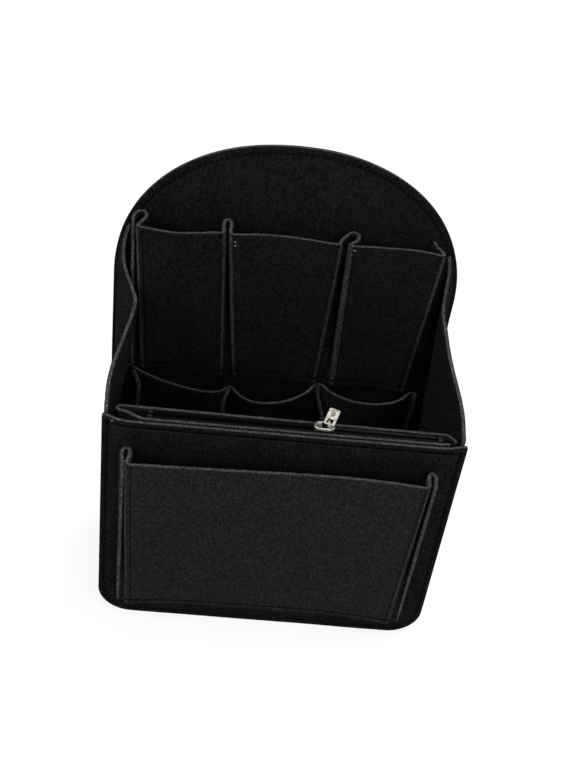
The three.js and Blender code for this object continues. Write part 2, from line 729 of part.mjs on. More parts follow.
// The tall strip's hem, in front of its middle face between two pleats
const tallTopFaceShares = [-0.3, 0.256];
const tallFootFaceShares = [-0.2, 0.24];
const tallTopFace = faceOf(tallTopShares, tallTopFaceShares);
const tallFootFace = faceOf(tallFootShares, tallFootFaceShares);
function tallHemPoints() {
  const z = tallBottom + pocketSeam;
  const rise = pocketSeam / (tallTop - tallBottom);
  const points = [];
  for (let i = 0; i <= 12; i += 1) {
    const share = THREE.MathUtils.lerp(...tallFootFaceShares, i / 12);
    const foot = tallFootStandoff * tallFootFace(share);
    const standoff = THREE.MathUtils.lerp(foot, tallStandoff * tallTopFace(share), rise);
    const x = (share * width) / 2 + rearLean;
    points.push(new THREE.Vector3(x, backFaceY - touchGap - felt - standoff - threadStep, z));
  }
  return points;
}

const insert = new THREE.Group();

function addPiece(parent, name, geometry, colour, roughness, metalness) {
  const material = new THREE.MeshStandardMaterial({ color: colour, roughness, metalness });
  const piece = new THREE.Mesh(geometry, material);
  piece.name = name;
  parent.add(piece);
  return piece;
}
const addFelt = (name, geometry) => addPiece(insert, name, geometry, blackFelt, 0.95, 0);
const addTape = (name, geometry) => addPiece(insert, name, geometry, blackTape, 0.8, 0);
const addThread = (name, geometry) => addPiece(insert, name, geometry, blackThread, 0.7, 0);
const addMetal = (parent, name, geometry) => addPiece(parent, name, geometry, nickel, 0.28, 1);

addFelt('back_panel', backPanel());
addFelt('front_panel', frontPanel());
addFelt('side_and_base_strip', sideBaseStrip());
addFelt('tall_pocket_strip', tallPockets());
addFelt('short_pocket_strip', shortPockets());
addFelt('front_slip_pocket', slipPocket());
addFelt('zip_pouch', zipPouch());

addTape('zip_tape_front', zipTape(frontTapeY));
addTape('zip_tape_rear', zipTape(rearTapeY));
addTape('zip_coil_front', zipRow(frontRowY));
addTape('zip_coil_rear', zipRow(rearRowY));

const stopX = zipLeft + stopLength / 2;
addMetal(insert, 'zip_top_stop_front', zipStop(stopX, frontRowY(stopX), rowWidth / 2));
addMetal(insert, 'zip_top_stop_rear', zipStop(stopX, rearRowY(), rowWidth / 2));
const endX = zipRight - stopLength / 2;
const endMiddle = (frontRowY(endX) + rearRowY()) / 2;
addMetal(insert, 'zip_bottom_stop', zipStop(endX, endMiddle, rearRowY() - endMiddle + rowWidth / 2));

const slider = new THREE.Group();
slider.position.set(sliderX, chainY, 0);
insert.add(slider);
addMetal(slider, 'zip_slider', sliderBody());
addMetal(slider, 'zip_slider_bail', sliderBail());
const pull = addMetal(slider, 'zip_pull', pullTab());
pull.position.set(bailX, 0, pivotZ);
const lean = THREE.MathUtils.degToRad(pullLean);
pull.rotation.set(Math.PI / 2 - lean, 0, -THREE.MathUtils.degToRad(pullTwist), 'ZXY');

addThread('front_panel_seam_thread', threadGeometry(onFront(frontSeamPlaces()), 48));
addThread('front_rim_thread', threadGeometry(onFront(rimSeamPlaces()), 48));
addThread('arch_stitch_thread', threadGeometry(archSeamPoints(), 32));
addThread('back_seam_thread', threadGeometry(backSeamPoints(), 72));
addThread('slip_pocket_hem_thread', threadGeometry(slipHemPoints(), 24));
addThread('tall_pocket_hem_thread', threadGeometry(tallHemPoints(), 24));
shortSeamShares.forEach((share, i) => {
  addThread(`short_pocket_seam_thread_${i + 1}`, threadGeometry(shortSeamPoints(share), 2));
});

// The whole part stands with its origin under its middle
const bounds = new THREE.Box3().setFromObject(insert);
const middle = bounds.getCenter(new THREE.Vector3());
insert.position.set(-middle.x, -middle.y, -bounds.min.z);
const part = new THREE.Group();
part.add(insert);

export default part;
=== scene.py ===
"""A black felt organizer insert for a bag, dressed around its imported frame.

Every felt piece is built again as a finely divided sheet with rounded, fuzzy cut edges, pressed seams
and separate stitches; the zip gets its tapes, its coils and a finished metal slider.
Lengths are in metres, +X to the right, +Y to the back, +Z up.
"""

import json
import math
import random

import bpy
import numpy as np
from mathutils import Matrix, Vector, noise


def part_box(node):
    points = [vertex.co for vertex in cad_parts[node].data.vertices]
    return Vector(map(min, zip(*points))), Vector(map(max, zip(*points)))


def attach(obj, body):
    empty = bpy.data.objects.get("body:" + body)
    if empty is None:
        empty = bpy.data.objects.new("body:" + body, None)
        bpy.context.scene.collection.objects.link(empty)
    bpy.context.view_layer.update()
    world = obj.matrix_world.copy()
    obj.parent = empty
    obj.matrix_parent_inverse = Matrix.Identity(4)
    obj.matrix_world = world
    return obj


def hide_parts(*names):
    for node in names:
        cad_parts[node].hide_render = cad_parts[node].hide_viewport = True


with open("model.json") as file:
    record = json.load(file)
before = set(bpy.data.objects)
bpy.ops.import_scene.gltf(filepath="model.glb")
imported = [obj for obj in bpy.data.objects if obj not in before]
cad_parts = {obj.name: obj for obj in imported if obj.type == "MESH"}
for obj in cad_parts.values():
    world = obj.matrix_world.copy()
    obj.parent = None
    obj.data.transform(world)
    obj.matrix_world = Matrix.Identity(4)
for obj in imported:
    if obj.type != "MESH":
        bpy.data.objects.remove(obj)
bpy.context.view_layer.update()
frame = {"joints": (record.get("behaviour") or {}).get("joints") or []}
random.seed(7)

# Sizes and places from the frame
front_low, front_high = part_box("front_panel")
back_low, back_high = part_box("back_panel")
tape_low, tape_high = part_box("zip_tape_rear")
row_low, row_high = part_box("zip_coil_rear")
tall_low, tall_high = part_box("tall_pocket_strip")
slip_low, slip_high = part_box("front_slip_pocket")
slider_low, slider_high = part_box("zip_slider")
bail_low, bail_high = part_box("zip_slider_bail")
PULL_PIVOT = frame["joints"][1]["pos_m"]
FELT = back_high.y - back_low.y
WIDTH = front_high.x - front_low.x
HALF = WIDTH / 2
RIM = front_high.z
BACK_TOP = back_high.z
MID_X = (front_low.x + front_high.x) / 2
LEAN = (back_low.x + back_high.x) / 2 - MID_X
FRONT_Y = front_high.y - FELT
DEPTH = back_high.y - FRONT_Y
TALL_FOOT, TALL_TOP = tall_low.z, tall_high.z
SLIP_FOOT, SLIP_TOP = slip_low.z, slip_high.z
CHAIN_Y = (slider_low.y + slider_high.y) / 2
SLIDER_X = (slider_low.x + slider_high.x) / 2
ZIP_LEFT, ZIP_RIGHT = tape_low.x, tape_high.x
TAPE_FOOT, TAPE_TOP = tape_low.z, tape_high.z
ROW_Z = (row_low.z + row_high.z) / 2
ROW_WIDTH = row_high.y - row_low.y

# Shell sizes that the frame's boxes don't give
ARCH_RISE, SIDE_REAR_DROP, SIDE_FRONT_RISE, SIDES_MEAN_RISE = 0.098, 0.0537, 0.0006, 0.06
SHOULDER = BACK_TOP - ARCH_RISE
SIDE_REAR = BACK_TOP - SIDE_REAR_DROP
SIDE_FRONT = RIM + SIDE_FRONT_RISE
CORNER = 0.022
GAP = 0.0003
ARCH_POWER = 2.16
SIDE_INSET = 0.0015
REAR_SEAM_INSET = 0.0025
BOW_LEFT, BOW_RIGHT, BOW_BORDER, BOW_POWER = 0.0046, 0.0029, 0.0043, 24
LEFT_BULGE, RIGHT_BULGE, BULGE_FOOT = 0.0116, 0.0066, 0.092
SHORT_TOP, SHORT_DIP = 0.138, 0.011
TALL_STANDOFF, TALL_FOOT_STANDOFF = 0.017, 0.0024
SHORT_STANDOFF, SHORT_FOOT_SHARE = 0.017, 0.45
SLIP_STANDOFF, SLIP_FOOT_STANDOFF = 0.013, 0.004
POUCH_GAP, POUCH_END, FOLD_RADIUS, SWEEP_INSET = 0.0066, 0.103, 0.0022, 0.026
POUCH_REAR_Y = CHAIN_Y + POUCH_GAP / 2 + FELT / 2
FACING_END, TAIL_LENGTH, TAIL_REACH = 0.099, 0.0065, 0.0054

# Finish of the felt
EDGE_ROUND = 0.00045
FRAY, FRAY_SCALE = 0.00018, 900
SEAM_DEPTH, SEAM_REACH = 0.0007, 0.0009
WAVE, WAVE_SCALE = 0.00035, 26
GRAIN, GRAIN_SCALE = 0.00007, 420
PANEL_SEAM, ARCH_SEAM, RIM_SEAM, STRIP_SEAM = 0.004, 0.005, 0.005, 0.004

# Depths of the fine relief in the looks
FELT_BUMP, THREAD_BUMP, TAPE_BUMP, COIL_BUMP, METAL_BUMP = 0.0006, 0.0001, 0.0002, 0.0001, 0.00008

# Points along the panels' outlines, the base, one side and the top, and rows up the pockets and the pouch
BACK_BASE, BACK_SIDE, ARCH_POINTS = 54, 60, 110
FRONT_BASE, FRONT_SIDE, RIM_POINTS, RIM_SEAM_POINTS = 60, 50, 84, 120
CORNER_POINTS = 14
TALL_ROWS, SHORT_ROWS, SLIP_ROWS, POUCH_ROWS = 46, 48, 50, 50

# Insets of a panel's rings: at its edge, about its seam and inside it
edge_insets, inner_insets = [EDGE_ROUND, 0.0012, 0.0022], [0.0095, 0.0125]
seam_steps = [-0.0009, 0, 0.0009, 0.002]

# Stitches: pitch, length and thread radius, how far their middle lifts and their ends sink, and how
# unevenly they lie, as shares of the pitch and of the radius
SEAM_STITCH, TACK_STITCH = (0.0036, 0.0027, 0.00026), (0.0021, 0.002, 0.0002)
STITCH_LIFT, STITCH_SINK = 0.00006, 0.0005
STITCH_JITTER, STITCH_SWAY, STITCH_SIDES = 0.06, 0.35, 6

# Bar tacks: columns and rows on the strips, half the length of a stitch and the space between them
tall_tacks = [(136, -3), (136, -4), (232, -2)]
SHORT_TACK_ROW, TACK_COLUMNS = -3, 3
TACK_REACH, TACK_SPACING = 0.0011, 0.0004
PANEL_TACK_INSET, PANEL_TACK_DROP, STRIP_TACK_SETBACK = 0.0071, 0.002, 0.0009

# Ribs that cover the short strip's seams: places as a share of half the width, and a height
RIB_WIDTH, RIB_THICK, RIB_STEPS, RIB_POINTS, RIB_POWER = 0.0028, 0.0012, 14, 14, 0.6
rib_places = [
    [(-0.854, 0.1367), (-0.82, 0.1269), (-0.822, 0.1174), (-0.824, 0.1086), (-0.826, 0.06)],
    [(-0.261, 0.129), (-0.283, 0.1218), (-0.293, 0.1138), (-0.29, 0.1067), (-0.28, 0.06)],
    [(0.289, 0.1384), (0.282, 0.1336), (0.306, 0.1234), (0.337, 0.1127), (0.345, 0.06)],
    [(0.89, 0.137), (0.891, 0.128), (0.884, 0.112), (0.876, 0.06)],
]

# Zip. The closed chain lies flat between the slit for the slider's post and the rear wall
TAPE, SLIT, TAPE_COLUMNS, TAPE_ROWS = 0.0005, 0.0005, 150, 28
COIL_PITCH, COIL_WIRE, COIL_END, COIL_STEPS, COIL_SIDES = 0.0013, 0.00026, 0.0034, 12, 6
COIL_HALF_WIDTH, COIL_HALF_HEIGHT = 0.0005, 0.00046
CHAIN_OFFSET, ROW_STEP, CLOSE_LENGTH = 0.0019, 0.00042, 0.008
inwards_from = {"front": 1, "rear": -1}

# Slider. In each profile a point is an inset and a height above the foot or a depth below the top
PLATE, CROWN_RISE, CROWN_TRIM, KEEL_TRIM = 0.0012, 0.0007, 0.0009, 0.0033
POST_WIDTH, POST_LENGTH = 0.0006, 0.004
DIVIDER_LENGTH, DIVIDER_TRIM, BOSS_LENGTH, BOSS_BREADTH = 0.0016, 0.0022, 0.0036, 0.0028
crown_side = [(0.0009, 0), (0.0003, 0), (0.0001, 0.0001), (0, 0.0004)]
crown_rim = [
    (0, 0.0006), (0.0001, 0.0003), (0.0003, 0.0001), (0.0006, 0), (0.0009, 0.0001), (0.0011, 0.0003),
    (0.0012, 0.0006), (0.0014, 0.0008), (0.0022, 0.00085),
]
divider_edge = [(0, 0.0011), (0, 0.0005), (0, 0.0003)]
boss_edge = [(0, 0.0011), (0, 0.0004), (0.00015, 0.0002), (0.0004, 0.00015)]
keel_edge = [(0.0003, 0), (0, 0.0003), (0, 0.0009), (0.0003, PLATE)]
OVAL_POINTS, RECESS_RING = 48, 9
BAIL_POINTS, BAIL_SIDES = 15, 12
STOP_ROUND, STOP_POINTS, STOP_POWER = 0.0003, 32, 0.4

# Pull
PULL_WIDTH, PULL_LENGTH, PULL_THICK, PULL_BAR = 0.007, 0.011, 0.0011, 0.0013
WINDOW_WIDTH, WINDOW_LENGTH = 0.0036, 0.0026
PULL_CORNER, WINDOW_CORNER, PULL_BEVEL = 0.0012, 0.0005, 0.00022
PULL_LEAN, PULL_TWIST = math.radians(58), math.radians(25)
PULL_BOSS, PULL_BOSS_RISE, PULL_BOSS_POINTS = 0.003, 0.0004, 32
pull_boss_edge = [(0, 0.0002), (0.0001, 0.00006), (0.0003, 0), (0.0007, 0.0001)]

# Camera, its place given from the foot of the front panel's middle, and light
CAMERA_FOCAL_PX, IMAGE_HEIGHT_PX, SENSOR = 1100, 768, 36
CAMERA_TURN, CAMERA_DOWN, CAMERA_ROLL = math.radians(-5.03), math.radians(37.2), math.radians(8.45)
CAMERA_PLACE = Vector((MID_X, FRONT_Y, 0)) + Vector((-0.0477, -0.50105, 0.5879))
PALE, WHITE = (0.86, 0.86, 0.85, 1), (1, 1, 1, 1)
WORLD_LEVEL, FLOOR_REACH, FLOOR_SHARE = 0.4, 3, 0.18
# Lamps: place, size and power
lamps = {
    "left_window": ((-1.3, -0.35, 1.0), 0.7, 20),
    "overhead": ((0.15, -0.2, 1.5), 0.9, 12),
    "front_fill": ((0.5, -1.3, 0.8), 1.0, 12),
    "back_fill": ((0.5, 1.3, 0.9), 1.0, 18),
    "right_fill": ((1.4, 0.2, 0.6), 1.0, 9),
}

# Curves over the side strip: share of the depth, and share of the strip's rise or bulge there
side_height_shares = [
    (0, 0), (0.06, 0.06), (0.15, 0.14), (0.3, 0.21), (0.5, 0.28), (0.7, 0.38), (0.82, 0.5), (0.91, 0.71),
    (1, 1),
]
left_bulge_shares = [
    (0, 0), (0.15, 0.02), (0.28, 0.16), (0.5, 0.58), (0.65, 0.9), (0.74, 1), (0.81, 0.7), (0.88, 0.2),
    (0.94, 0), (1, 0),
]
right_bulge_shares = [
    (0, 0), (0.2, 0.1), (0.36, 0.3), (0.54, 0.55), (0.75, 0.76), (0.82, 1), (0.88, 0.85), (0.94, 0.35),
    (1, 0),
]
# Places along a pleated strip: share of half the width, share of its standoff from the wall
tall_top_shares = [
    (-0.886, 0.62), (-0.882, 0.3), (-0.858, 0), (-0.832, 0.04), (-0.816, 0.36), (-0.838, 0.78),
    (-0.85, 1.1), (-0.76, 1.24), (-0.66, 1.33), (-0.55, 1.22), (-0.435, 1.03), (-0.4, 0.98),
    (-0.386, 0.86), (-0.39, 0.45), (-0.383, 0.08), (-0.368, 0), (-0.353, 0.08), (-0.346, 0.45),
    (-0.35, 0.86), (-0.336, 1.02), (-0.3, 1), (-0.2, 0.86), (-0.05, 0.8), (0.1, 0.86), (0.22, 0.96),
    (0.256, 0.94), (0.262, 0.74), (0.292, 0.34), (0.326, 0.03), (0.35, 0), (0.368, 0.2),
    (0.352, 0.58), (0.312, 0.9), (0.334, 0.99), (0.4, 0.93), (0.52, 0.88), (0.66, 0.84), (0.76, 0.89),
    (0.8, 0.98), (0.823, 1.02), (0.836, 0.96), (0.837, 0.85), (0.824, 0.64), (0.804, 0.34),
    (0.797, 0.04),
]
tall_foot_shares = [
    (-0.868, 0.8), (-0.866, 0.4), (-0.85, 0), (-0.836, 0.1), (-0.828, 0.4), (-0.82, 0.8), (-0.8, 1),
    (-0.74, 0.7), (-0.62, 0), (-0.5, 0.3), (-0.37, 1), (-0.335, 1), (-0.32, 0.8), (-0.31, 0.4),
    (-0.3, 0.1), (-0.285, 0), (-0.27, 0.1), (-0.26, 0.4), (-0.25, 0.8), (-0.235, 1), (-0.2, 1),
    (-0.1, 0.3), (0, 0), (0.12, 0.4), (0.215, 1), (0.24, 1), (0.255, 0.7), (0.267, 0.3), (0.28, 0),
    (0.305, 0), (0.32, 0.3), (0.335, 0.7), (0.35, 1), (0.38, 1), (0.44, 0.8), (0.52, 0.3), (0.66, 0),
    (0.715, 0.5), (0.765, 1), (0.79, 1), (0.803, 0.9), (0.811, 0.72), (0.817, 0.48), (0.823, 0.24),
    (0.83, 0),
]
short_top_shares = [
    (-0.905, 0), (-0.874, 0), (-0.86, 0.05), (-0.82, 0.22), (-0.74, 0.42), (-0.6, 0.58), (-0.45, 0.58),
    (-0.35, 0.44), (-0.3, 0.22), (-0.275, 0.01), (-0.25, 0.01), (-0.236, 0.14), (-0.19, 0.6),
    (-0.1, 1.08), (0, 1.2), (0.1, 1.08), (0.2, 0.66), (0.258, 0.14), (0.272, 0.01), (0.297, 0.01),
    (0.311, 0.14), (0.37, 0.6), (0.47, 0.9), (0.59, 0.97), (0.72, 0.8), (0.8, 0.46), (0.848, 0.08),
    (0.862, 0.01), (0.9, 0),
]
# Dip of the short strip's top edge, and the strip's seams, over shares of half the width
short_dip_shares = [
    (-1, 0), (-0.87, 0), (-0.6, 0.5), (-0.28, 1), (-0.01, 0.5), (0.29, 0.05), (0.6, 0.15), (1, 0.1),
]
short_seam_shares = [-0.888, -0.2625, 0.2845, 0.886]
# Places along the slip pocket, as for the other strips
slip_top_shares = [
    (-0.86, 1.02), (-0.871, 0.6), (-0.872, 0.2), (-0.86, 0.02), (-0.843, 0.02), (-0.831, 0.25),
    (-0.831, 0.6), (-0.84, 0.98), (-0.822, 1.1), (-0.76, 1.08), (-0.5, 1.02), (-0.2, 0.92), (0.1, 0.82),
    (0.35, 0.8), (0.6, 0.88), (0.74, 1), (0.786, 1.02), (0.8, 0.86), (0.803, 0.5), (0.812, 0.12),
    (0.828, 0.02), (0.845, 0.16), (0.843, 0.55), (0.834, 0.98),
]
slip_foot_shares = [
    (-0.876, 0.4), (-0.87, 0.2), (-0.862, 0.05), (-0.852, 0), (-0.842, 0.02), (-0.834, 0.2),
    (-0.826, 0.5), (-0.818, 0.8), (-0.805, 1), (-0.74, 0.8), (-0.5, 0.2), (-0.2, 0), (0.1, 0),
    (0.35, 0), (0.6, 0.4), (0.74, 0.9), (0.775, 1), (0.79, 0.8), (0.8, 0.4), (0.812, 0.05),
    (0.826, 0), (0.838, 0.15), (0.846, 0.35), (0.852, 0.5),
]


# Columns to each place of a table, columns of the stitch lines beside the folds, and columns on
# the folds themselves that are painted paler, as highlight
TALL_STEPS, SLIP_STEPS, SHORT_STEPS = 7, 8, 8
tall_folds = [44, 75, 135, 171, 231, 271]
slip_folds = [65, 126]
tall_highlight_columns = [(39, 43), (78, 83), (128, 133), (174, 180), (224, 230), (274, 280)]
slip_highlight_columns = [(2, 12), (57, 60), (129, 133), (166, 176)]
# Places of a table between which a hem is stitched
tall_hems = [(8, 12), (20, 25), (34, 39)]
slip_hems = [(9, 15)]


def lerp(a, b, t):
    return a + (b - a) * t


def smooth(t):
    t = np.clip(t, 0, 1)
    return t * t * (3 - 2 * t)


def up_to(start, end, count):
    """Evenly spaced values from a start to an end, without the end itself."""
    return np.linspace(start, end, count, endpoint=False)


def squared(wave, power):
    """Makes a sine or cosine blunter, as the outline of a rounded square."""
    return np.sign(wave) * np.abs(wave) ** power


def unit(v):
    return v / np.maximum(np.linalg.norm(v, axis=-1, keepdims=True), 1e-12)


def cubic(start, rise, slope, end_slope, t):
    """A cubic curve's place at t, from its start, its rise and its slopes at both ends."""
    bend = 3 * rise - 2 * slope - end_slope
    return start + slope * t + bend * t**2 + (slope + end_slope - 2 * rise) * t**3


def curve_through(table):
    """A smooth curve through a table of (place, value) pairs."""
    places, values = np.array(table, float).T
    last = len(places) - 1
    before = np.maximum(np.arange(last + 1) - 1, 0)
    after = np.minimum(np.arange(last + 1) + 1, last)
    slopes = (values[after] - values[before]) / (places[after] - places[before])

    def value(at):
        i = np.clip(np.searchsorted(places, at) - 1, 0, last - 1)
        span = places[i + 1] - places[i]
        t = np.clip((at - places[i]) / span, 0, 1)
        return cubic(values[i], values[i + 1] - values[i], slopes[i] * span, slopes[i + 1] * span, t)

    return value


def path_through(points, per_place):
    """Points of a centripetal curve through places in the plane, per_place of them to each stretch."""
    p = np.array(points, float)
    p = np.vstack([2 * p[0] - p[1], p, 2 * p[-1] - p[-2]])
    found = []
    for k in range(1, len(p) - 2):
        d0, d1, d2 = (max(np.linalg.norm(p[k + i] - p[k + i - 1]) ** 0.5, 1e-9) for i in range(3))
        before, rise, after = p[k] - p[k - 1], p[k + 1] - p[k], p[k + 2] - p[k + 1]
        slope = (before / d0 - (p[k + 1] - p[k - 1]) / (d0 + d1) + rise / d1) * d1
        end_slope = (rise / d1 - (p[k + 2] - p[k]) / (d1 + d2) + after / d2) * d1
        for i in range(per_place + (k == len(p) - 3)):
            found.append(cubic(p[k], rise, slope, end_slope, i / per_place))
    return np.array(found)


def lengths_along(points):
    """Length of a line of points from its start to each of them."""
    return np.concatenate([[0], np.cumsum(np.linalg.norm(np.diff(points, axis=0), axis=1))])


def path_length(points):
    return float(np.linalg.norm(np.diff(points, axis=0), axis=1).sum())


def noise_at(points, scale, seed):
    """Smooth noise, about -1 to 1, at each point."""
    shift = Vector((seed * 3.1, seed * 1.7, seed * 2.3))
    values = [noise.noise(Vector(q) * scale + shift) for q in points.reshape(-1, 3)]
    return np.array(values).reshape(points.shape[:-1])


# Materials
def set_inputs(tree, node, inputs):
    """Links each input that is given a socket, and writes the others."""
    for name, value in inputs.items():
        if isinstance(value, bpy.types.NodeSocket):
            tree.links.new(value, node.inputs[name])
        else:
            node.inputs[name].default_value = value


def add_node(tree, kind, inputs, **settings):
    node = tree.nodes.new("ShaderNode" + kind)
    for name, value in settings.items():
        setattr(node, name, value)
    set_inputs(tree, node, inputs)
    return node


def new_material(name):
    """A material, its node tree, its shader and the object's own coordinates."""
    material = bpy.data.materials.new(name)
    material.use_nodes = True
    tree = material.node_tree
    return material, tree, tree.nodes["Principled BSDF"], add_node(tree, "TexCoord", {}).outputs["Object"]


def noise_node(tree, place, scale, detail, roughness):
    inputs = {"Vector": place, "Scale": scale, "Detail": detail, "Roughness": roughness}
    return add_node(tree, "TexNoise", inputs).outputs["Fac"]


def stretched(tree, place, scale):
    return add_node(tree, "Mapping", {"Vector": place, "Scale": scale}).outputs["Vector"]


def grey(level):
    return [level] * 3


def ramp_node(tree, source, *stops):
    """A ramp between two or more (place, colour) stops."""
    ramp = add_node(tree, "ValToRGB", {"Fac": source})
    elements = ramp.color_ramp.elements
    while len(elements) < len(stops):
        elements.new(0.5)
    for element, (position, colour) in zip(elements, stops):
        element.position = position
        element.color = (*colour, 1)
    return ramp.outputs["Color"]


def mix_node(tree, kind, factor, a, b):
    inputs = {"Factor": factor, "A": a, "B": b}
    return add_node(tree, "Mix", inputs, data_type="RGBA", blend_type=kind).outputs["Result"]


def bump_node(tree, height, strength, distance):
    inputs = {"Height": height, "Strength": strength, "Distance": distance}
    return add_node(tree, "Bump", inputs).outputs["Normal"]


def felt_like(name, dark, light, sheen):
    """Pressed fibre: short tangled fibres, small knots, a faint cloudy tone and a thin bloom."""
    material, tree, shader, place = new_material(name)
    fibre = noise_node(tree, place, 1000, 5, 0.7)
    tangle = noise_node(tree, stretched(tree, place, (1, 1, 0.6)), 620, 3, 0.6)
    cloud = noise_node(tree, place, 60, 3, 0.5)
    middle = [lerp(a, b, 0.36) for a, b in zip(dark, light)]
    base = ramp_node(tree, fibre, (0.36, dark), (0.5, middle), (0.66, light))
    tone = ramp_node(tree, cloud, (0.3, grey(0.86)), (0.7, grey(1)))
    knots = ramp_node(tree, tangle, (0.38, grey(0.5)), (0.62, grey(1)))
    height = mix_node(tree, "ADD", 0.6, fibre, tangle)
    set_inputs(tree, shader, {
        "Base Color": mix_node(tree, "MULTIPLY", 1, mix_node(tree, "MULTIPLY", 1, base, tone), knots),
        "Roughness": 1,
        "Specular IOR Level": 0,
        "Sheen Weight": sheen,
        "Sheen Roughness": 0.3,
        "Sheen Tint": (0.84, 0.78, 0.88, 1),
        "Normal": bump_node(tree, height, 0.55, FELT_BUMP),
    })
    return material


def thread_like(name, dark, light):
    """Twisted thread: fine slanting ridges."""
    material, tree, shader, place = new_material(name)
    inputs = {"Vector": place, "Scale": 900, "Distortion": 1.5}
    ridges = add_node(tree, "TexWave", inputs, bands_direction="DIAGONAL").outputs["Fac"]
    set_inputs(tree, shader, {
        "Base Color": ramp_node(tree, ridges, (0.2, dark), (0.9, light)),
        "Roughness": 0.9,
        "Specular IOR Level": 0.05,
        "Normal": bump_node(tree, ridges, 0.4, THREAD_BUMP),
    })
    return material


def tape_like(name, dark, light):
    """Zip tape: a fine herringbone weave."""
    material, tree, shader, place = new_material(name)
    across = add_node(tree, "TexWave", {"Vector": place, "Scale": 620, "Distortion": 0.6})
    up = add_node(tree, "TexWave", {"Vector": place, "Scale": 480}, bands_direction="Z")
    weave = mix_node(tree, "MULTIPLY", 1, across.outputs["Color"], up.outputs["Color"])
    set_inputs(tree, shader, {
        "Base Color": ramp_node(tree, weave, (0.1, dark), (0.8, light)),
        "Roughness": 0.95,
        "Specular IOR Level": 0.03,
        "Normal": bump_node(tree, weave, 0.5, TAPE_BUMP),
    })
    return material


def coil_like(name, dark, light):
    """Nylon monofilament of the coils, brown-black, with painted shade that darkens it left of the slider,
    where the rows stand open in the pouch.
    """
    material, tree, shader, place = new_material(name)
    patch = noise_node(tree, place, 160, 3, 0.5)
    colour = ramp_node(tree, patch, (0.3, dark), (0.7, light))
    # Painted shade: left of the slider the coil's colour drops to a tenth, as in the pouch's shade
    along = add_node(tree, "MapRange", {
        "Value": add_node(tree, "SeparateXYZ", {"Vector": place}).outputs["X"],
        "From Min": SLIDER_X - CLOSE_LENGTH,
        "From Max": SLIDER_X + CLOSE_LENGTH,
    })
    open_part_painted_shade = ramp_node(tree, along.outputs["Result"], (0, (0.1, 0.1, 0.11)), (1, grey(1)))
    set_inputs(tree, shader, {
        "Base Color": mix_node(tree, "MULTIPLY", 1, colour, open_part_painted_shade),
        "Roughness": ramp_node(tree, patch, (0.3, grey(0.3)), (0.75, grey(0.5))),
        "Specular IOR Level": 0.04,
        "Normal": bump_node(tree, patch, 0.2, COIL_BUMP),
    })
    return material


def metal_like(name, dark, light, rough_low, rough_high):
    """Plated metal with faint handling marks."""
    material, tree, shader, place = new_material(name)
    smear = noise_node(tree, place, 520, 4, 0.65)
    scratch = noise_node(tree, stretched(tree, place, (0.2, 1, 1)), 700, 3, 0.7)
    set_inputs(tree, shader, {
        "Base Color": ramp_node(tree, smear, (0.3, dark), (0.7, light)),
        "Roughness": ramp_node(tree, scratch, (0.35, grey(rough_low)), (0.75, grey(rough_high))),
        "Metallic": 0.8,
        "Normal": bump_node(tree, scratch, 0.12, METAL_BUMP),
    })
    return material


felt_material = felt_like("black_felt", (0.0042, 0.0037, 0.0045), (0.0168, 0.0148, 0.0177), 0.008)
# Paler felt for the slip pocket
slip_material = felt_like("paler_black_felt", (0.011, 0.0098, 0.0116), (0.0258, 0.0231, 0.027), 0.012)
# Paler felt for the folds' columns: painted highlight
fold_highlight_material = felt_like("felt_fold_painted_highlight", (0.012, 0.0107, 0.0126), (0.06, 0.0545, 0.0625), 0.015)
# Darker felt for the seams: packed felt and painted shade of the pressed groove
seam_press_and_shade_material = felt_like("packed_felt_seam_and_painted_shade", (0.0014, 0.0012, 0.0015), (0.008, 0.007, 0.0084), 0)
# Paler felt for the cut edges' cores and the seam ribs: painted highlight
edge_highlight_material = felt_like("cut_felt_edge_painted_highlight", (0.024, 0.022, 0.025), (0.1, 0.093, 0.1025), 0.02)
thread_material = thread_like("black_thread", (0.004, 0.0038, 0.0042), (0.018, 0.0169, 0.0188))
tack_material = thread_like("worn_thread", (0.04, 0.039, 0.04), (0.16, 0.155, 0.155))
tape_material = tape_like("zip_tape_weave", (0.002, 0.002, 0.0022), (0.009, 0.0086, 0.0094))
coil_material = coil_like("coil_nylon", (0.008, 0.0078, 0.0064), (0.024, 0.023, 0.019))
metal_material = metal_like("nickel_plating", (0.12, 0.116, 0.1), (0.4, 0.388, 0.35), 0.38, 0.58)
# A darker copy of the plating, painted shade, for the crown's recess and the pull's boss
painted_shade_metal = metal_like("nickel_painted_shade", (0.07, 0.067, 0.06), (0.2, 0.194, 0.174), 0.4, 0.6)
stop_material = metal_like("blackened_metal", grey(0.004), (0.014, 0.0136, 0.0134), 0.5, 0.7)


# Meshes
def to_object(name, verts, faces, materials):
    """A smooth mesh object."""
    mesh = bpy.data.meshes.new(name)
    mesh.from_pydata([tuple(v) for v in verts], [], faces)
    for material in materials:
        mesh.materials.append(material)
    mesh.polygons.foreach_set("use_smooth", [True] * len(faces))
    mesh.update()
    piece = bpy.data.objects.new(name, mesh)
    bpy.context.scene.collection.objects.link(piece)
    return piece


def reface(piece, material, numbers):
    """Gives the faces of some numbers another material."""
    piece.data.materials.append(material)
    for number in numbers:
        piece.data.polygons[number].material_index = len(piece.data.materials) - 1


def dress(piece, body, slot, *nodes):
    """Puts a piece on its body, in the place of the nodes that it stands for; its finish, the slot, is not
    used.
    """
    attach(piece, body)
    if nodes:
        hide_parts(*nodes)


def tube_faces(rings, count, first=0):
    """Faces of a closed tube through rings of count points each, its two ends filled."""
    last = first + (rings - 1) * count
    faces = [tuple(range(first + count - 1, first - 1, -1))]
    for a in range(first, last, count):
        for i in range(count):
            after = (i + 1) % count
            faces.append((a + i, a + after, a + after + count, a + i + count))
    return faces + [tuple(range(last, last + count))]


def loft(name, rings, material):
    """A closed solid through rings of points."""
    return to_object(name, np.vstack(rings), tube_faces(len(rings), len(rings[0])), [material])


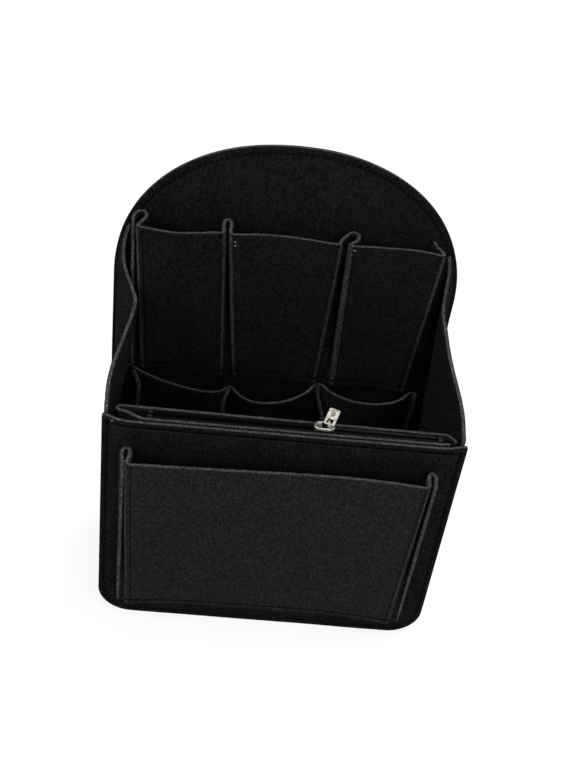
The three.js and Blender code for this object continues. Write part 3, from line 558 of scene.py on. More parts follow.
def tube_ring(centre, side, up, radius, sides):
    turns = up_to(0, 2 * math.pi, sides)
    return centre + radius * (np.cos(turns)[:, None] * side + np.sin(turns)[:, None] * up)


def tube_mesh(name, centres, radius, sides, material):
    """A closed tube along a line of points."""
    tangent = unit(np.gradient(centres, axis=0))
    side = unit(np.cross(tangent, np.array([0.3, 0.2, 1.0])))
    up = np.cross(side, tangent)
    return loft(name, [tube_ring(*ring, radius, sides) for ring in zip(centres, side, up)], material)


def grid_loop(n, m):
    """(column, row) of the points round a grid's border."""
    loop = [(i, 0) for i in range(n)] + [(n - 1, j) for j in range(1, m)]
    return loop + [(i, m - 1) for i in range(n - 2, -1, -1)] + [(0, j) for j in range(m - 2, 0, -1)]


def grid_faces(n, m):
    """Front and back faces of a sheet of n by m points, in turn."""
    faces = []
    for i in range(n - 1):
        for j in range(m - 1):
            a, b, c, d = i * m + j, (i + 1) * m + j, (i + 1) * m + j + 1, i * m + j + 1
            faces += [(a, b, c, d), (n * m + a, n * m + d, n * m + c, n * m + b)]
    return faces


# Felt sheets and panels
def seam_press(distance):
    """How deep a seam presses the felt at a distance from its line."""
    return SEAM_DEPTH * np.exp(-((distance / SEAM_REACH) ** 2))


def felt_faces(middle, normal, relief, seed):
    """Front and back faces of a felt sheet around its middle surface."""
    wave = noise_at(middle, WAVE_SCALE, seed) * WAVE
    faces = []
    for side in (1, -1):
        grain = noise_at(middle, GRAIN_SCALE, seed + 5 * side) * GRAIN
        offset = wave + side * (FELT / 2 - relief) + grain
        faces.append(middle + normal * offset[..., None])
    return faces


def sheet_normals(grid, level):
    """Normals of a grid's surface, square to the level axis."""
    n = unit(np.cross(np.gradient(grid, axis=0), np.gradient(grid, axis=1)))
    return unit(n - (n @ level)[..., None] * level)


def rim_profile():
    """Round profile of a cut edge, from the front face to the back face: reach outwards, place across."""
    half, r = FELT / 2, EDGE_ROUND
    bend = math.sqrt(0.5) * r
    return [(bend, half - r + bend), (r, half - r), (r, 0), (r, r - half), (bend, r - half - bend)]


def add_rim(verts, faces, ends, edge, out, normal, seed):
    """Rounds a cut edge between the loops that end the two faces, its fuzzy core last.

    Returns the numbers of the core's faces.
    """
    n = len(edge)
    start = sum(map(len, verts))
    loops = [ends[0]]
    for reach, across in rim_profile():
        ring = edge + out * reach + normal * across
        fray = np.stack([noise_at(ring, FRAY_SCALE, seed + k) for k in range(3)], -1)
        verts.append(ring + fray * FRAY)
        loops.append(range(start, start + n))
        start += n
    loops.append(ends[1])
    bands = list(zip(loops, loops[1:]))
    for group in (bands[:2] + bands[4:], bands[2:4]):
        core_from = len(faces)
        for a, b in group:
            faces += [(a[i], b[i], b[(i + 1) % n], a[(i + 1) % n]) for i in range(n)]
    return range(core_from, len(faces))


def felt_sheet(name, grid, level, relief, seed):
    """A felt sheet around a grid of middle points. Returns it with its front and back points."""
    grid = grid.copy()
    normal = sheet_normals(grid, np.array(level, float))
    n, m = grid.shape[:2]
    loop = grid_loop(n, m)
    out = np.zeros((len(loop), 3))
    for k, (i, j) in enumerate(loop):
        if j in (0, m - 1):
            out[k] += unit(grid[i, j] - grid[i, 1 if j == 0 else m - 2])
        if i in (0, n - 1):
            out[k] += unit(grid[i, j] - grid[1 if i == 0 else n - 2, j])
    columns, rows = np.array(loop).T
    grid[columns, rows] -= out * EDGE_ROUND
    front, back = felt_faces(grid, normal, relief, seed)
    verts, faces = [front.reshape(-1, 3), back.reshape(-1, 3)], grid_faces(n, m)
    ends = [[side * n * m + i * m + j for i, j in loop] for side in (0, 1)]
    core = add_rim(verts, faces, ends, grid[columns, rows], out, normal[columns, rows], seed)
    piece = to_object(name, np.vstack(verts), faces, [felt_material])
    # The edge's core gets the paler felt, painted highlight
    reface(piece, edge_highlight_material, core)
    return piece, front, back


def felt_panel(name, rings, relief, seed):
    """A felt panel from closed rings of middle points, the first at its cut edge, facing -Y."""
    count, n = rings.shape[:2]
    normal = np.zeros_like(rings)
    normal[..., 1] = -1
    front, back = felt_faces(rings, normal, relief, seed)
    edge, centre, half = rings[0], rings[-1].mean(0), np.array([0, FELT / 2, 0])
    out = unit(np.cross(np.roll(edge, -1, 0) - np.roll(edge, 1, 0), normal[0]))
    if ((edge - centre) * out).sum() < 0:
        out = -out
    verts = [front.reshape(-1, 3), back.reshape(-1, 3), np.array([centre - half, centre + half])]
    faces = []
    behind = count * n
    for k in range(count - 1):
        for i in range(n):
            a, b = k * n + i, k * n + (i + 1) % n
            faces += [(a, b, b + n, a + n), (behind + a, behind + a + n, behind + b + n, behind + b)]
    for a in range(behind - n, behind):
        b = a + 1 if a + 1 < behind else behind - n
        faces += [(a, b, 2 * behind), (behind + b, behind + a, 2 * behind + 1)]
    ends = range(n), range(behind, behind + n)
    core = add_rim(verts, faces, ends, edge - out * EDGE_ROUND, out, normal[0], seed)
    piece = to_object(name, np.vstack(verts), faces, [felt_material])
    # The edge's core gets the paler felt, painted highlight
    reface(piece, edge_highlight_material, core)
    seam_ring = len(edge_insets)
    # Darker felt about the seam: packed felt and painted shade of the pressed groove
    reface(piece, seam_press_and_shade_material, range(2 * seam_ring * n, 2 * (seam_ring + 2) * n))
    return piece


def finish_felt(piece, node, area=None):
    dress(piece, "root", "felt", node)


# Shape of the shell, as functions of place
def bow_at(x, z):
    share = np.minimum(np.abs(x - MID_X) / (HALF - BOW_BORDER), 1)
    amount = lerp(BOW_LEFT, BOW_RIGHT, (x - MID_X) / WIDTH + 0.5)
    return amount * (1 - share**BOW_POWER) * smooth(z / RIM)


def front_middle_y(x, z):
    return FRONT_Y + FELT / 2 - bow_at(x, z)


def front_face_y(x, z):
    return front_middle_y(x, z) - FELT / 2


def back_middle_y(x, z):
    return 0 * x + back_high.y - FELT / 2


def back_face_y(x, z):
    return 0 * x + back_low.y


def pouch_front_y(x, z):
    return front_middle_y(x, z) + FELT + GAP


def depth_share(y):
    return np.clip((y - FRONT_Y) / DEPTH, 0, 1)


def arch_half_width(z):
    rise = np.clip((z - SHOULDER) / ARCH_RISE, 0, 1)
    return HALF * (1 - rise**ARCH_POWER) ** (1 / ARCH_POWER)


def floor_at(x, lean):
    """Lowest height that a sheet inside the body can reach at x."""
    radius = CORNER - FELT - GAP
    straight = HALF - REAR_SEAM_INSET - CORNER
    past = np.clip(np.abs(x - MID_X - lean) - straight + FELT, 0, radius)
    return CORNER - np.sqrt(radius**2 - past**2)


# Front and back panel
def line_points(a, b, count):
    t = up_to(0, 1, count)[:, None]
    return lerp(np.array(a, float), np.array(b, float), t)


def corner_points(x, z, radius, start):
    turns = start + up_to(0, math.pi / 2, CORNER_POINTS)
    return np.stack([x + radius * np.cos(turns), z + radius * np.sin(turns)], -1)


def panel_outline(inset, shoulder, top, base_count, side_count):
    """(x, z) points round a panel, taken in by an inset, with its own top between its shoulders."""
    half, radius = HALF - inset, CORNER - inset
    low = inset + radius
    return np.vstack([
        line_points((-half + radius, inset), (half - radius, inset), base_count),
        corner_points(half - radius, low, radius, -math.pi / 2),
        line_points((half, low), (half, shoulder), side_count),
        top,
        line_points((-half, shoulder), (-half, low), side_count),
        corner_points(-half + radius, low, radius, math.pi),
    ])


def back_outline(inset):
    turns = up_to(0, math.pi, ARCH_POINTS)
    across = squared(np.cos(turns), 2 / ARCH_POWER)
    up = np.sin(turns) ** (2 / ARCH_POWER)
    arch = np.stack([(HALF - inset) * across, SHOULDER + (ARCH_RISE - inset) * up], -1)
    return panel_outline(inset, SHOULDER, arch, BACK_BASE, BACK_SIDE) + [MID_X + LEAN, 0]


def front_outline(inset):
    half, top = HALF - inset, RIM - inset
    rim = line_points((half, top), (-half, top), RIM_POINTS)
    return panel_outline(inset, top, rim, FRONT_BASE, FRONT_SIDE) + [MID_X, 0]


def outline_area(points):
    x, z = points.T
    return abs(float((x * np.roll(z, -1) - z * np.roll(x, -1)).sum())) / 2


def panel(name, outline, y_at, seam, seed):
    """A panel from rings that lie close together at its seam, then shrink to its middle."""
    insets = edge_insets + [seam + step for step in seam_steps] + inner_insets
    flat = [outline(inset) for inset in insets]
    inner, centre = flat[-1], flat[-1].mean(0)
    shares = [0.93 - 0.07 * k for k in range(13)] + [0.03]
    flat = np.array(flat + [centre + (inner - centre) * share for share in shares])
    rings = np.stack([flat[..., 0], y_at(flat[..., 0], flat[..., 1]), flat[..., 1]], -1)
    relief = seam_press(np.array(insets + [1] * len(shares)) - seam)
    relief = np.broadcast_to(relief[:, None], rings.shape[:2])
    piece = felt_panel(name + "_felt", rings, relief, seed)
    finish_felt(piece, name, outline_area(outline(0)))


# Strip that is the sides and the base
height_share = curve_through(side_height_shares)
bulge_at = {
    "left": (LEFT_BULGE, curve_through(left_bulge_shares)),
    "right": (RIGHT_BULGE, curve_through(right_bulge_shares)),
}


def side_top(share):
    return lerp(SIDE_FRONT, SIDE_REAR, height_share(share))


def side_inset(side, share, z):
    seam = lerp(SIDE_INSET, HALF - arch_half_width(z) + REAR_SEAM_INSET, share)
    bulge, bulge_share = bulge_at[side]
    return seam + bulge * bulge_share(share) * smooth((z - BULGE_FOOT) / (side_top(share) - BULGE_FOOT))


def side_strip_grid():
    """Middle points of the strip: down the left side, across the base and up the right side."""
    sides, corners, base, rows, crowding = 56, 14, 40, 46, 1.1
    reach = DEPTH - 2 * (FELT + GAP)
    y = FRONT_Y + FELT + GAP + reach * (1 - (1 - np.linspace(0, 1, rows + 1)) ** crowding)
    share = depth_share(y)
    sign = {"left": -1, "right": 1}

    def column(side, x, z):
        return np.stack([MID_X + sign[side] * x + LEAN * share, y, z], -1)

    def wall(side, t):
        z = lerp(side_top(share), CORNER, t)
        return column(side, HALF - side_inset(side, share, z) - FELT / 2, z)

    def corner(side, turn):
        radius = CORNER - FELT / 2
        x = HALF - side_inset(side, share, 0 * share) - CORNER + radius * math.cos(turn)
        return column(side, x, 0 * y + CORNER - radius * math.sin(turn))

    ends = [corner(side, math.pi / 2) for side in ("left", "right")]
    columns = [wall("left", i / sides) for i in range(sides)]
    columns += [corner("left", i / corners * math.pi / 2) for i in range(corners)]
    columns += [lerp(ends[0], ends[1], i / base) for i in range(base)]
    columns += [corner("right", (1 - i / corners) * math.pi / 2) for i in range(corners)]
    columns += [wall("right", 1 - i / sides) for i in range(sides + 1)]
    return np.array(columns)


def side_strip():
    grid = side_strip_grid()
    y = grid[..., 1]
    relief = seam_press(y - y.min() - STRIP_SEAM) + seam_press(y.max() - y - STRIP_SEAM)
    piece = felt_sheet("side_and_base_felt", grid, (0, 1, 0), relief, 3)[0]
    finish_felt(piece, "side_and_base_strip")


# Pocket strips
def hem_rows(rows, height):
    """Shares of a strip's height for its rows, close together at the hem."""
    near = STRIP_SEAM + SEAM_REACH * np.array([-1.6, -0.8, 0, 0.8, 1.6])
    return np.union1d(np.linspace(0, 1, rows + 1), near / height)


def pocket_grid(top, foot, standoffs, lean, per_place, rows, low, high, wall_y):
    """Middle points of a pleated strip that stands against a wall, a row at each share of its height."""
    top, foot = np.array(top, float), np.array(foot, float)
    high_standoff, low_standoff = standoffs
    found = []
    for v in rows:
        places = lerp(foot * [HALF, low_standoff], top * [HALF, high_standoff], v)
        path = path_through(places, per_place)
        x = path[:, 0] + MID_X + lean
        z = lerp(low(x), high(x), v)
        y = wall_y(x, z) - GAP - FELT / 2 - path[:, 1]
        found.append(np.stack([x, y, z], -1))
    return np.array(found).transpose(1, 0, 2)


def front_faces(grid, columns, rows):
    """Numbers of a sheet's front faces in a block of its columns and rows."""
    per_column = grid.shape[1] - 1
    return [2 * (i * per_column + j) for i in columns for j in rows]


def hem_row(front):
    """Number of the row that a strip's hem is stitched along."""
    return int(np.argmin(np.abs(front[0, :, 2] - front[0, 0, 2] - STRIP_SEAM)))


def pocket_piece(name, node, grid, relief, seed, painted_highlight_folds=(), seams=(), face_material=None):
    """A pocket strip with paler felt on its folds, which is painted highlight, and darker felt along its
    seams, which is packed felt and painted shade.
    """
    piece, front, back = felt_sheet(name, grid, (0, 0, 1), relief, seed)
    if face_material:
        piece.data.materials[0] = face_material
    all_columns, all_rows = (range(size - 1) for size in grid.shape[:2])
    # Painted highlight: the folds' columns get the paler felt
    for first, last in painted_highlight_folds:
        reface(piece, fold_highlight_material, front_faces(grid, range(first, last), all_rows))
    if seams:
        hem = hem_row(grid)
        # Darker felt on the fold stitch lines and the hem row: packed felt and painted shade
        reface(piece, seam_press_and_shade_material, front_faces(grid, seams, all_rows))
        reface(piece, seam_press_and_shade_material, front_faces(grid, all_columns, (hem - 1, hem)))
    finish_felt(piece, node)
    return front, back


def strip_relief(grid, folds):
    """The press of a strip's hem line and of the stitch lines beside its folds."""
    along = lengths_along(grid[:, -1])
    hem = seam_press(grid[..., 2] - grid[:, :1, 2] - STRIP_SEAM)
    return hem + sum(seam_press(along - along[i]) for i in folds)[:, None]


def tall_pockets():
    grid = pocket_grid(
        tall_top_shares, tall_foot_shares, (TALL_STANDOFF, TALL_FOOT_STANDOFF), LEAN, TALL_STEPS,
        hem_rows(TALL_ROWS, TALL_TOP - TALL_FOOT),
        lambda x: 0 * x + TALL_FOOT, lambda x: 0 * x + TALL_TOP, back_face_y,
    )
    relief = strip_relief(grid, tall_folds)
    return pocket_piece("tall_pocket_felt", "tall_pocket_strip", grid, relief, 4, tall_highlight_columns, tall_folds)


def short_pockets():
    dip = curve_through(short_dip_shares)
    grid = pocket_grid(
        short_top_shares, short_top_shares, (SHORT_STANDOFF, SHORT_STANDOFF * SHORT_FOOT_SHARE), LEAN,
        SHORT_STEPS, np.linspace(0, 1, SHORT_ROWS + 1),
        lambda x: floor_at(x, LEAN) + GAP, lambda x: SHORT_TOP - SHORT_DIP * dip((x - MID_X - LEAN) / HALF),
        back_face_y,
    )
    relief = sum(seam_press(grid[..., 0] - MID_X - LEAN - share * HALF) for share in short_seam_shares)
    return pocket_piece("short_pocket_felt", "short_pocket_strip", grid, relief, 5)


def slip_pocket():
    grid = pocket_grid(
        slip_top_shares, slip_foot_shares, (SLIP_STANDOFF, SLIP_FOOT_STANDOFF), 0, SLIP_STEPS,
        hem_rows(SLIP_ROWS, SLIP_TOP - SLIP_FOOT),
        lambda x: 0 * x + SLIP_FOOT, lambda x: 0 * x + SLIP_TOP, front_face_y,
    )
    return pocket_piece(
        "slip_pocket_felt", "front_slip_pocket", grid, strip_relief(grid, slip_folds), 6,
        slip_highlight_columns, slip_folds, slip_material,
    )


# Zipped pouch
def pouch_plan(z):
    """The pouch in plan at a height: front layer, sweep, fold at the left, rear wall and its tail."""
    fold_x, fold_y = -POUCH_END + FELT / 2 + FOLD_RADIUS, POUCH_REAR_Y - FOLD_RADIUS
    sweep_x, tail_x = -HALF + SWEEP_INSET, POUCH_END - TAIL_LENGTH
    front = up_to(FACING_END, sweep_x, 70)
    sweep = up_to(0, 1, 14)
    sweep_across = lerp(sweep_x, fold_x, sweep)
    sweep_y = lerp(pouch_front_y(MID_X + sweep_across, z), fold_y - FOLD_RADIUS, smooth(sweep))
    turns = up_to(0, math.pi, 16)
    rear = up_to(fold_x, tail_x, 66)
    tail = np.linspace(0, 1, 9)
    stretches = [
        (front, pouch_front_y(MID_X + front, z)),
        (sweep_across, sweep_y),
        (fold_x - FOLD_RADIUS * np.sin(turns), fold_y - FOLD_RADIUS * np.cos(turns)),
        (rear, 0 * rear + POUCH_REAR_Y),
        (tail_x + TAIL_LENGTH * tail, POUCH_REAR_Y - TAIL_REACH * tail**2),
    ]
    return np.vstack([np.stack([MID_X + x, y], -1) for x, y in stretches])


def zip_pouch():
    foot = floor_at(pouch_plan(RIM)[:, 0], 0) + GAP
    z = np.linspace(foot, 0 * foot + RIM, POUCH_ROWS + 1, axis=1)
    grid = np.zeros((*z.shape, 3))
    grid[..., 2] = z
    for j in range(z.shape[1]):
        for level in np.unique(z[:, j]):
            same = z[:, j] == level
            grid[same, j, :2] = pouch_plan(level)[same]
    piece = felt_sheet("zip_pouch_felt", grid, (0, 0, 1), seam_press(RIM - RIM_SEAM - z), 8)[0]
    finish_felt(piece, "zip_pouch")


# Stitches
def sample_at(values, lengths, at):
    """Values along a line at distances from its start."""
    return np.stack([np.interp(at, lengths, values[:, k]) for k in range(3)], -1)


def stitch_mesh(name, lines, nodes=(), size=SEAM_STITCH, material=thread_material):
    """Stitches along lines of surface points, each line given with its outward normals."""
    pitch, length, radius = size
    lift = np.array([-STITCH_SINK, STITCH_LIFT * 0.6, STITCH_LIFT, STITCH_LIFT * 0.6, -STITCH_SINK])
    radii = radius * np.array([0.75, 1, 1, 1, 0.75])
    verts, faces = [], []
    for points, normals in lines:
        total, lengths = path_length(points), lengths_along(points)
        for k in range(int(total / pitch)):
            start = k * pitch + random.uniform(-STITCH_JITTER, STITCH_JITTER) * pitch + (pitch - length) / 2
            at = np.clip(start + np.linspace(0, length, len(lift)), 0, total)
            centre = sample_at(points, lengths, at)
            normal = unit(sample_at(normals, lengths, at))
            across = unit(np.cross(unit(np.gradient(centre, axis=0)), normal))
            sway = random.uniform(-1, 1) * radius * STITCH_SWAY
            centre = centre + normal * lift[:, None] + across * sway
            faces += tube_faces(len(lift), STITCH_SIDES, len(verts))
            for ring in zip(centre, across, normal, radii):
                verts.extend(tube_ring(*ring, STITCH_SIDES))
    dress(to_object(name, verts, faces, [material]), "root", "thread", *nodes)


def facing(count, direction):
    return np.tile(np.array(direction, float), (count, 1))


def panel_line(outline, y, direction):
    """A line of (x, z) points on a face at y that looks along Y, forwards or backwards."""
    x, z = outline.T
    return np.stack([x, 0 * x + y, z], -1), facing(len(x), (0, direction, 0))


def grid_line(front, back, i, j):
    """A stitch line on a sheet's front face, along its columns or rows."""
    return front[i, j], unit(front[i, j] - back[i, j])


def front_stitches():
    outline = front_outline(PANEL_SEAM)
    top = outline[:, 1] > RIM - 1.5 * PANEL_SEAM
    sides = np.roll(outline, -np.argmax(top) - top.sum(), axis=0)[: len(outline) - top.sum()]
    line = panel_line(sides, front_face_y(*sides.T) + SEAM_DEPTH, -1)
    stitch_mesh("front_panel_stitches", [line], ["front_panel_seam_thread"])
    x = np.linspace(-HALF + 2 * PANEL_SEAM, HALF - 2 * PANEL_SEAM, RIM_SEAM_POINTS) + MID_X
    rim = np.stack([x, 0 * x + RIM - RIM_SEAM], -1)
    stitch_mesh("front_rim_stitches", [panel_line(rim, front_face_y(*rim.T), -1)], ["front_rim_thread"])


def back_stitches():
    outline = back_outline(ARCH_SEAM)
    closed = panel_line(np.vstack([outline, outline[:1]]), back_high.y - SEAM_DEPTH, 1)
    stitch_mesh("back_panel_stitches", [closed], ["back_seam_thread"])
    arch = panel_line(outline[outline[:, 1] > SIDE_REAR - 2 * ARCH_SEAM], back_low.y + SEAM_DEPTH, -1)
    stitch_mesh("arch_stitches", [arch], ["arch_stitch_thread"])


def pleated_stitches(name, node, strip, steps, hems, folds):
    """The hem between a pleated strip's folds and the lines beside them."""
    front = strip[0]
    lines = [grid_line(*strip, slice(a * steps, b * steps), hem_row(front)) for a, b in hems]
    stitch_mesh(name + "_hem_stitches", lines, [node])
    stitch_mesh(name + "_fold_stitches", [grid_line(*strip, i, slice(2, -1)) for i in folds])


def column_near(front, share):
    """Number of the column whose top lies nearest to a share of half the back panel's width."""
    return int(np.argmin(np.abs(front[:, -1, 0] - (MID_X + LEAN + share * HALF))))


def short_stitches(strip):
    for number, share in enumerate(short_seam_shares, 1):
        line = grid_line(*strip, column_near(strip[0], share), slice(3, -2))
        node = "short_pocket_seam_thread_%d" % number
        stitch_mesh("short_seam_stitches_%d" % number, [line], [node])


def seam_rib(number, places, face):
    """A narrow strip of felt that hangs down over a seam from the short strip's top edge."""
    centre = path_through([(MID_X + LEAN + share * HALF, height) for share, height in places], RIB_STEPS)
    along = unit(np.gradient(centre, axis=0))
    across = np.stack([-along[:, 1], along[:, 0]], -1)
    flat = face.reshape(-1, 3)
    near = [np.argmin(((flat[:, [0, 2]] - place) ** 2).sum(1)) for place in centre]
    y = np.convolve(np.pad(flat[near, 1], 4, "edge"), np.ones(9) / 9, "valid") - RIB_THICK * 0.7
    turns = up_to(0, 2 * math.pi, RIB_POINTS)
    rings = []
    for k in range(len(centre)):
        ripple = 1 + 0.1 * noise.noise(Vector((k * 0.35, number * 5.0, 0)))
        wide = squared(np.cos(turns), RIB_POWER) * RIB_WIDTH / 2 * ripple
        thick = squared(np.sin(turns), RIB_POWER) * RIB_THICK / 2
        x, z = centre[k, :, None] + across[k, :, None] * wide
        rings.append(np.stack([x, y[k] + thick, z], -1))
    # The rib is all in the paler edge felt, painted highlight
    dress(loft("short_seam_rib_%d" % number, rings, edge_highlight_material), "root", "felt")


def tack(place, along, normal):
    """Three short parallel lines of one stitch each."""
    along, normal = unit(np.array(along, float)), unit(np.array(normal, float))
    lines = []
    for k in (-1, 0, 1):
        middle = place + np.cross(along, normal) * k * TACK_SPACING
        ends = np.array([middle - along * TACK_REACH, middle, middle + along * TACK_REACH])
        lines.append((ends, facing(3, normal)))
    return lines


def strip_tack(front, back, i, j):
    return tack(front[i, j], front[i + TACK_COLUMNS, j] - front[i, j], front[i, j] - back[i, j])


def bar_tacks(tall, short):
    """Short dense stitches that lock the pockets' corners and the front panel's left corner."""
    lines = []
    for i, j in tall_tacks:
        lines += strip_tack(*tall, i, j)
    lines += strip_tack(*short, column_near(short[0], short_seam_shares[1]), SHORT_TACK_ROW)
    x, z = MID_X - HALF + PANEL_TACK_INSET, RIM - PANEL_TACK_DROP
    lines += tack(np.array([x, front_face_y(x, z), z]), (1, 0, 0.4), (0, -1, 0))
    y = FRONT_Y + FELT + GAP + STRIP_TACK_SETBACK
    place = np.array([MID_X - HALF + SIDE_INSET + FELT / 2, y, side_top(depth_share(y))])
    lines += tack(place, (1, 0, 0), (0, -0.6, 0.8))
    stitch_mesh("bar_tacks", lines, [], TACK_STITCH, tack_material)


# Zip
def closed_at(x):
    """How far the two rows have come together at a place: 0 left of the slider, 1 right of it."""
    return smooth((x - SLIDER_X) / CLOSE_LENGTH)


def wall_y(side, x):
    """Inner face of the felt that a tape is sewn to."""
    if side == "front":
        return pouch_front_y(x, RIM) + FELT / 2
    return 0 * x + POUCH_REAR_Y - FELT / 2


def zip_tape(side):
    """A tape that stands along its wall. Right of the slider its top lies flat towards the chain."""
    inwards = inwards_from[side]
    x = np.linspace(ZIP_LEFT, ZIP_RIGHT, TAPE_COLUMNS)
    stand = wall_y(side, x) + inwards * (GAP + TAPE / 2)
    reach = np.maximum(CHAIN_Y - SLIT - stand, 0) * closed_at(x) if side == "front" else 0 * x
    top = lerp(TAPE_TOP, ROW_Z - COIL_HALF_HEIGHT, closed_at(x))
    height = TAPE_TOP - TAPE_FOOT
    upright = height - reach
    grid = []
    for j in range(TAPE_ROWS + 1):
        up = j / TAPE_ROWS * height
        across = stand + np.maximum(up - upright, 0) * inwards
        grid.append(np.stack([x, across, top - upright + np.minimum(up, upright)], -1))
    grid = np.array(grid).transpose(1, 0, 2)
    half = sheet_normals(grid, np.array([1.0, 0, 0])) * TAPE / 2
    n, m = grid.shape[:2]
    loop = [i * m + j for i, j in grid_loop(n, m)]
    rim = [(b, a, n * m + a, n * m + b) for a, b in zip(loop, loop[1:] + loop[:1])]
    verts = np.vstack([(grid + half).reshape(-1, 3), (grid - half).reshape(-1, 3)])
    piece = to_object("zip_tape_%s_weave" % side, verts, grid_faces(n, m) + rim, [tape_material])
    dress(piece, "root", "zip_tape", "zip_tape_" + side)


def zip_coil(side):
    """One row's filament: a flat coil that runs along the edge of its tape."""
    inwards = inwards_from[side]
    start, end = ZIP_LEFT + COIL_END, ZIP_RIGHT - COIL_END
    turns = int((end - start) / COIL_PITCH)
    t = np.linspace(0, turns, turns * COIL_STEPS + 1)
    angle = 2 * math.pi * (t + (0 if side == "front" else 0.5))
    x = start + t * COIL_PITCH
    apart = wall_y(side, x) + inwards * (2 * GAP + TAPE + ROW_WIDTH / 2)
    row_y = lerp(apart, CHAIN_Y + CHAIN_OFFSET - inwards * ROW_STEP, closed_at(x))
    y = row_y + inwards * COIL_HALF_WIDTH * np.cos(angle)
    z = ROW_Z + COIL_HALF_HEIGHT * np.sin(angle)
    name, line = "zip_coil_%s_filament" % side, np.stack([x, y, z], -1)
    piece = tube_mesh(name, line, COIL_WIRE, COIL_SIDES, coil_material)
    dress(piece, "root", "zip_coil", "zip_coil_" + side)


def zip_stop(node):
    """A small folded clamp over the end of a row."""
    low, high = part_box(node)
    size, r = high - low, STOP_ROUND
    turns = up_to(0, 2 * math.pi, STOP_POINTS)
    rings = []
    for inset, z in [(r, low.z), (0, low.z + r), (0, high.z - r), (r, high.z)]:
        x = squared(np.cos(turns), STOP_POWER) * (size.x / 2 - inset) + (low.x + high.x) / 2
        y = squared(np.sin(turns), STOP_POWER) * (size.y / 2 - inset) + (low.y + high.y) / 2
        rings.append(np.stack([x, y, 0 * turns + z], -1))
    dress(loft(node + "_clamp", rings, stop_material), "root", "metal", node)


def oval_solid(name, length, breadth, profile, shift=(0, 0, 0), material=metal_material, count=OVAL_POINTS):
    """A solid of flat-sided ovals, each at its inset from the full size and its height."""
    turns = up_to(0, 2 * math.pi, count) + math.pi / count
    rings = []
    for inset, z in profile:
        radius = (breadth - 2 * inset) / 2
        x = np.cos(turns) * radius + np.sign(np.cos(turns)) * (length - breadth) / 2
        rings.append(np.stack([x, np.sin(turns) * radius, 0 * turns + z], -1) + shift)
    return loft(name, rings, material)


def joined(pieces, name):
    with bpy.context.temp_override(active_object=pieces[0], selected_editable_objects=pieces):
        bpy.ops.object.join()
    pieces[0].name = name
    return pieces[0]


def slider_body():
    """The slider: an oval crown with a raised rim round a recess, over a keel plate and a post."""
    length, breadth = slider_high.x - slider_low.x - CROWN_TRIM, slider_high.y - slider_low.y
    low, top = slider_low.z, slider_high.z
    foot = top - CROWN_RISE - PLATE

    def under_top(edge):
        return [(inset, top - depth) for inset, depth in edge]

    crown_profile = [(inset, foot + rise) for inset, rise in crown_side] + under_top(crown_rim)
    keel_profile = [(inset, low + rise) for inset, rise in keel_edge]
    post_profile = [(0, low + PLATE / 2), (0, foot + PLATE / 2)]
    parts = [
        oval_solid("crown", length, breadth, crown_profile),
        oval_solid("divider", DIVIDER_LENGTH, breadth - DIVIDER_TRIM, under_top(divider_edge)),
        oval_solid("boss", BOSS_LENGTH, BOSS_BREADTH, under_top(boss_edge), (length / 4, 0, 0)),
        oval_solid("keel", length - PLATE, breadth - KEEL_TRIM, keel_profile),
        oval_solid("post", POST_LENGTH, POST_WIDTH, post_profile, (-length / 5, 0, 0)),
    ]
    crown_faces = len(parts[0].data.polygons)
    # The recess gets the darker plating as painted shade
    reface(parts[0], painted_shade_metal, range(1 + RECESS_RING * OVAL_POINTS, crown_faces))
    body = joined(parts, "slider_body")
    body.data.transform(Matrix.Translation((SLIDER_X, CHAIN_Y, 0)))
    dress(body, "slider", "metal", "zip_slider")


def slider_bail():
    """The small wire arch that holds the pull."""
    x, y = (bail_low.x + bail_high.x) / 2, (bail_low.y + bail_high.y) / 2
    wire = (bail_high.x - bail_low.x) / 2
    reach = (bail_high.y - bail_low.y) / 2 - wire
    turns = np.linspace(0, math.pi, BAIL_POINTS)
    z = bail_high.z - wire - reach + reach * np.sin(turns)
    arch = np.stack([0 * turns + x, y - reach * np.cos(turns), z], -1)
    line = np.vstack([(x, y - reach, bail_low.z), arch, (x, y + reach, bail_low.z)])
    piece = tube_mesh("slider_bail_wire", line, wire, BAIL_SIDES, metal_material)
    dress(piece, "slider", "metal", "zip_slider_bail")


def round_outline(half_x, low_y, high_y, radius):
    """Points round an oblong with round corners."""
    x, low, high = half_x - radius, low_y + radius, high_y - radius
    points = []
    for centre_x, centre_y, start in [(x, low, -90), (x, high, 0), (-x, high, 90), (-x, low, 180)]:
        for turn in np.radians(start + np.arange(0, 91, 15)):
            points.append((centre_x + radius * math.cos(turn), centre_y + radius * math.sin(turn)))
    return np.array(points)


def pull_plate():
    """The tab's plate, a closed ring round its window, its edges bevelled."""
    half, bar, bevel = PULL_THICK / 2, PULL_BAR / 2, PULL_BEVEL
    sides = [(bevel, -half), (0, bevel - half), (0, half - bevel), (bevel, half)]
    outer, inner = [], []
    for d, z in sides:
        tab = round_outline(PULL_WIDTH / 2 - d, d - bar, PULL_LENGTH - bar - d, PULL_CORNER - d)
        window = round_outline(WINDOW_WIDTH / 2 + d, bar - d, bar + WINDOW_LENGTH + d, WINDOW_CORNER + d)
        outer.append(np.column_stack([tab, 0 * tab[:, 0] + z]))
        inner.insert(0, np.column_stack([window, 0 * window[:, 0] + z]))
    rings = outer + inner
    n = len(rings[0])
    faces = []
    for r in range(len(rings)):
        after = (r + 1) % len(rings)
        for i in range(n):
            i2 = (i + 1) % n
            faces.append((r * n + i, r * n + i2, after * n + i2, after * n + i))
    piece = to_object("pull_plate", np.vstack(rings), faces, [metal_material])
    # Band 3 is the upper face and band 7 the under face
    flat_bands = (3, 7)
    for number, polygon in enumerate(piece.data.polygons):
        polygon.use_smooth = number // n not in flat_bands
    return piece


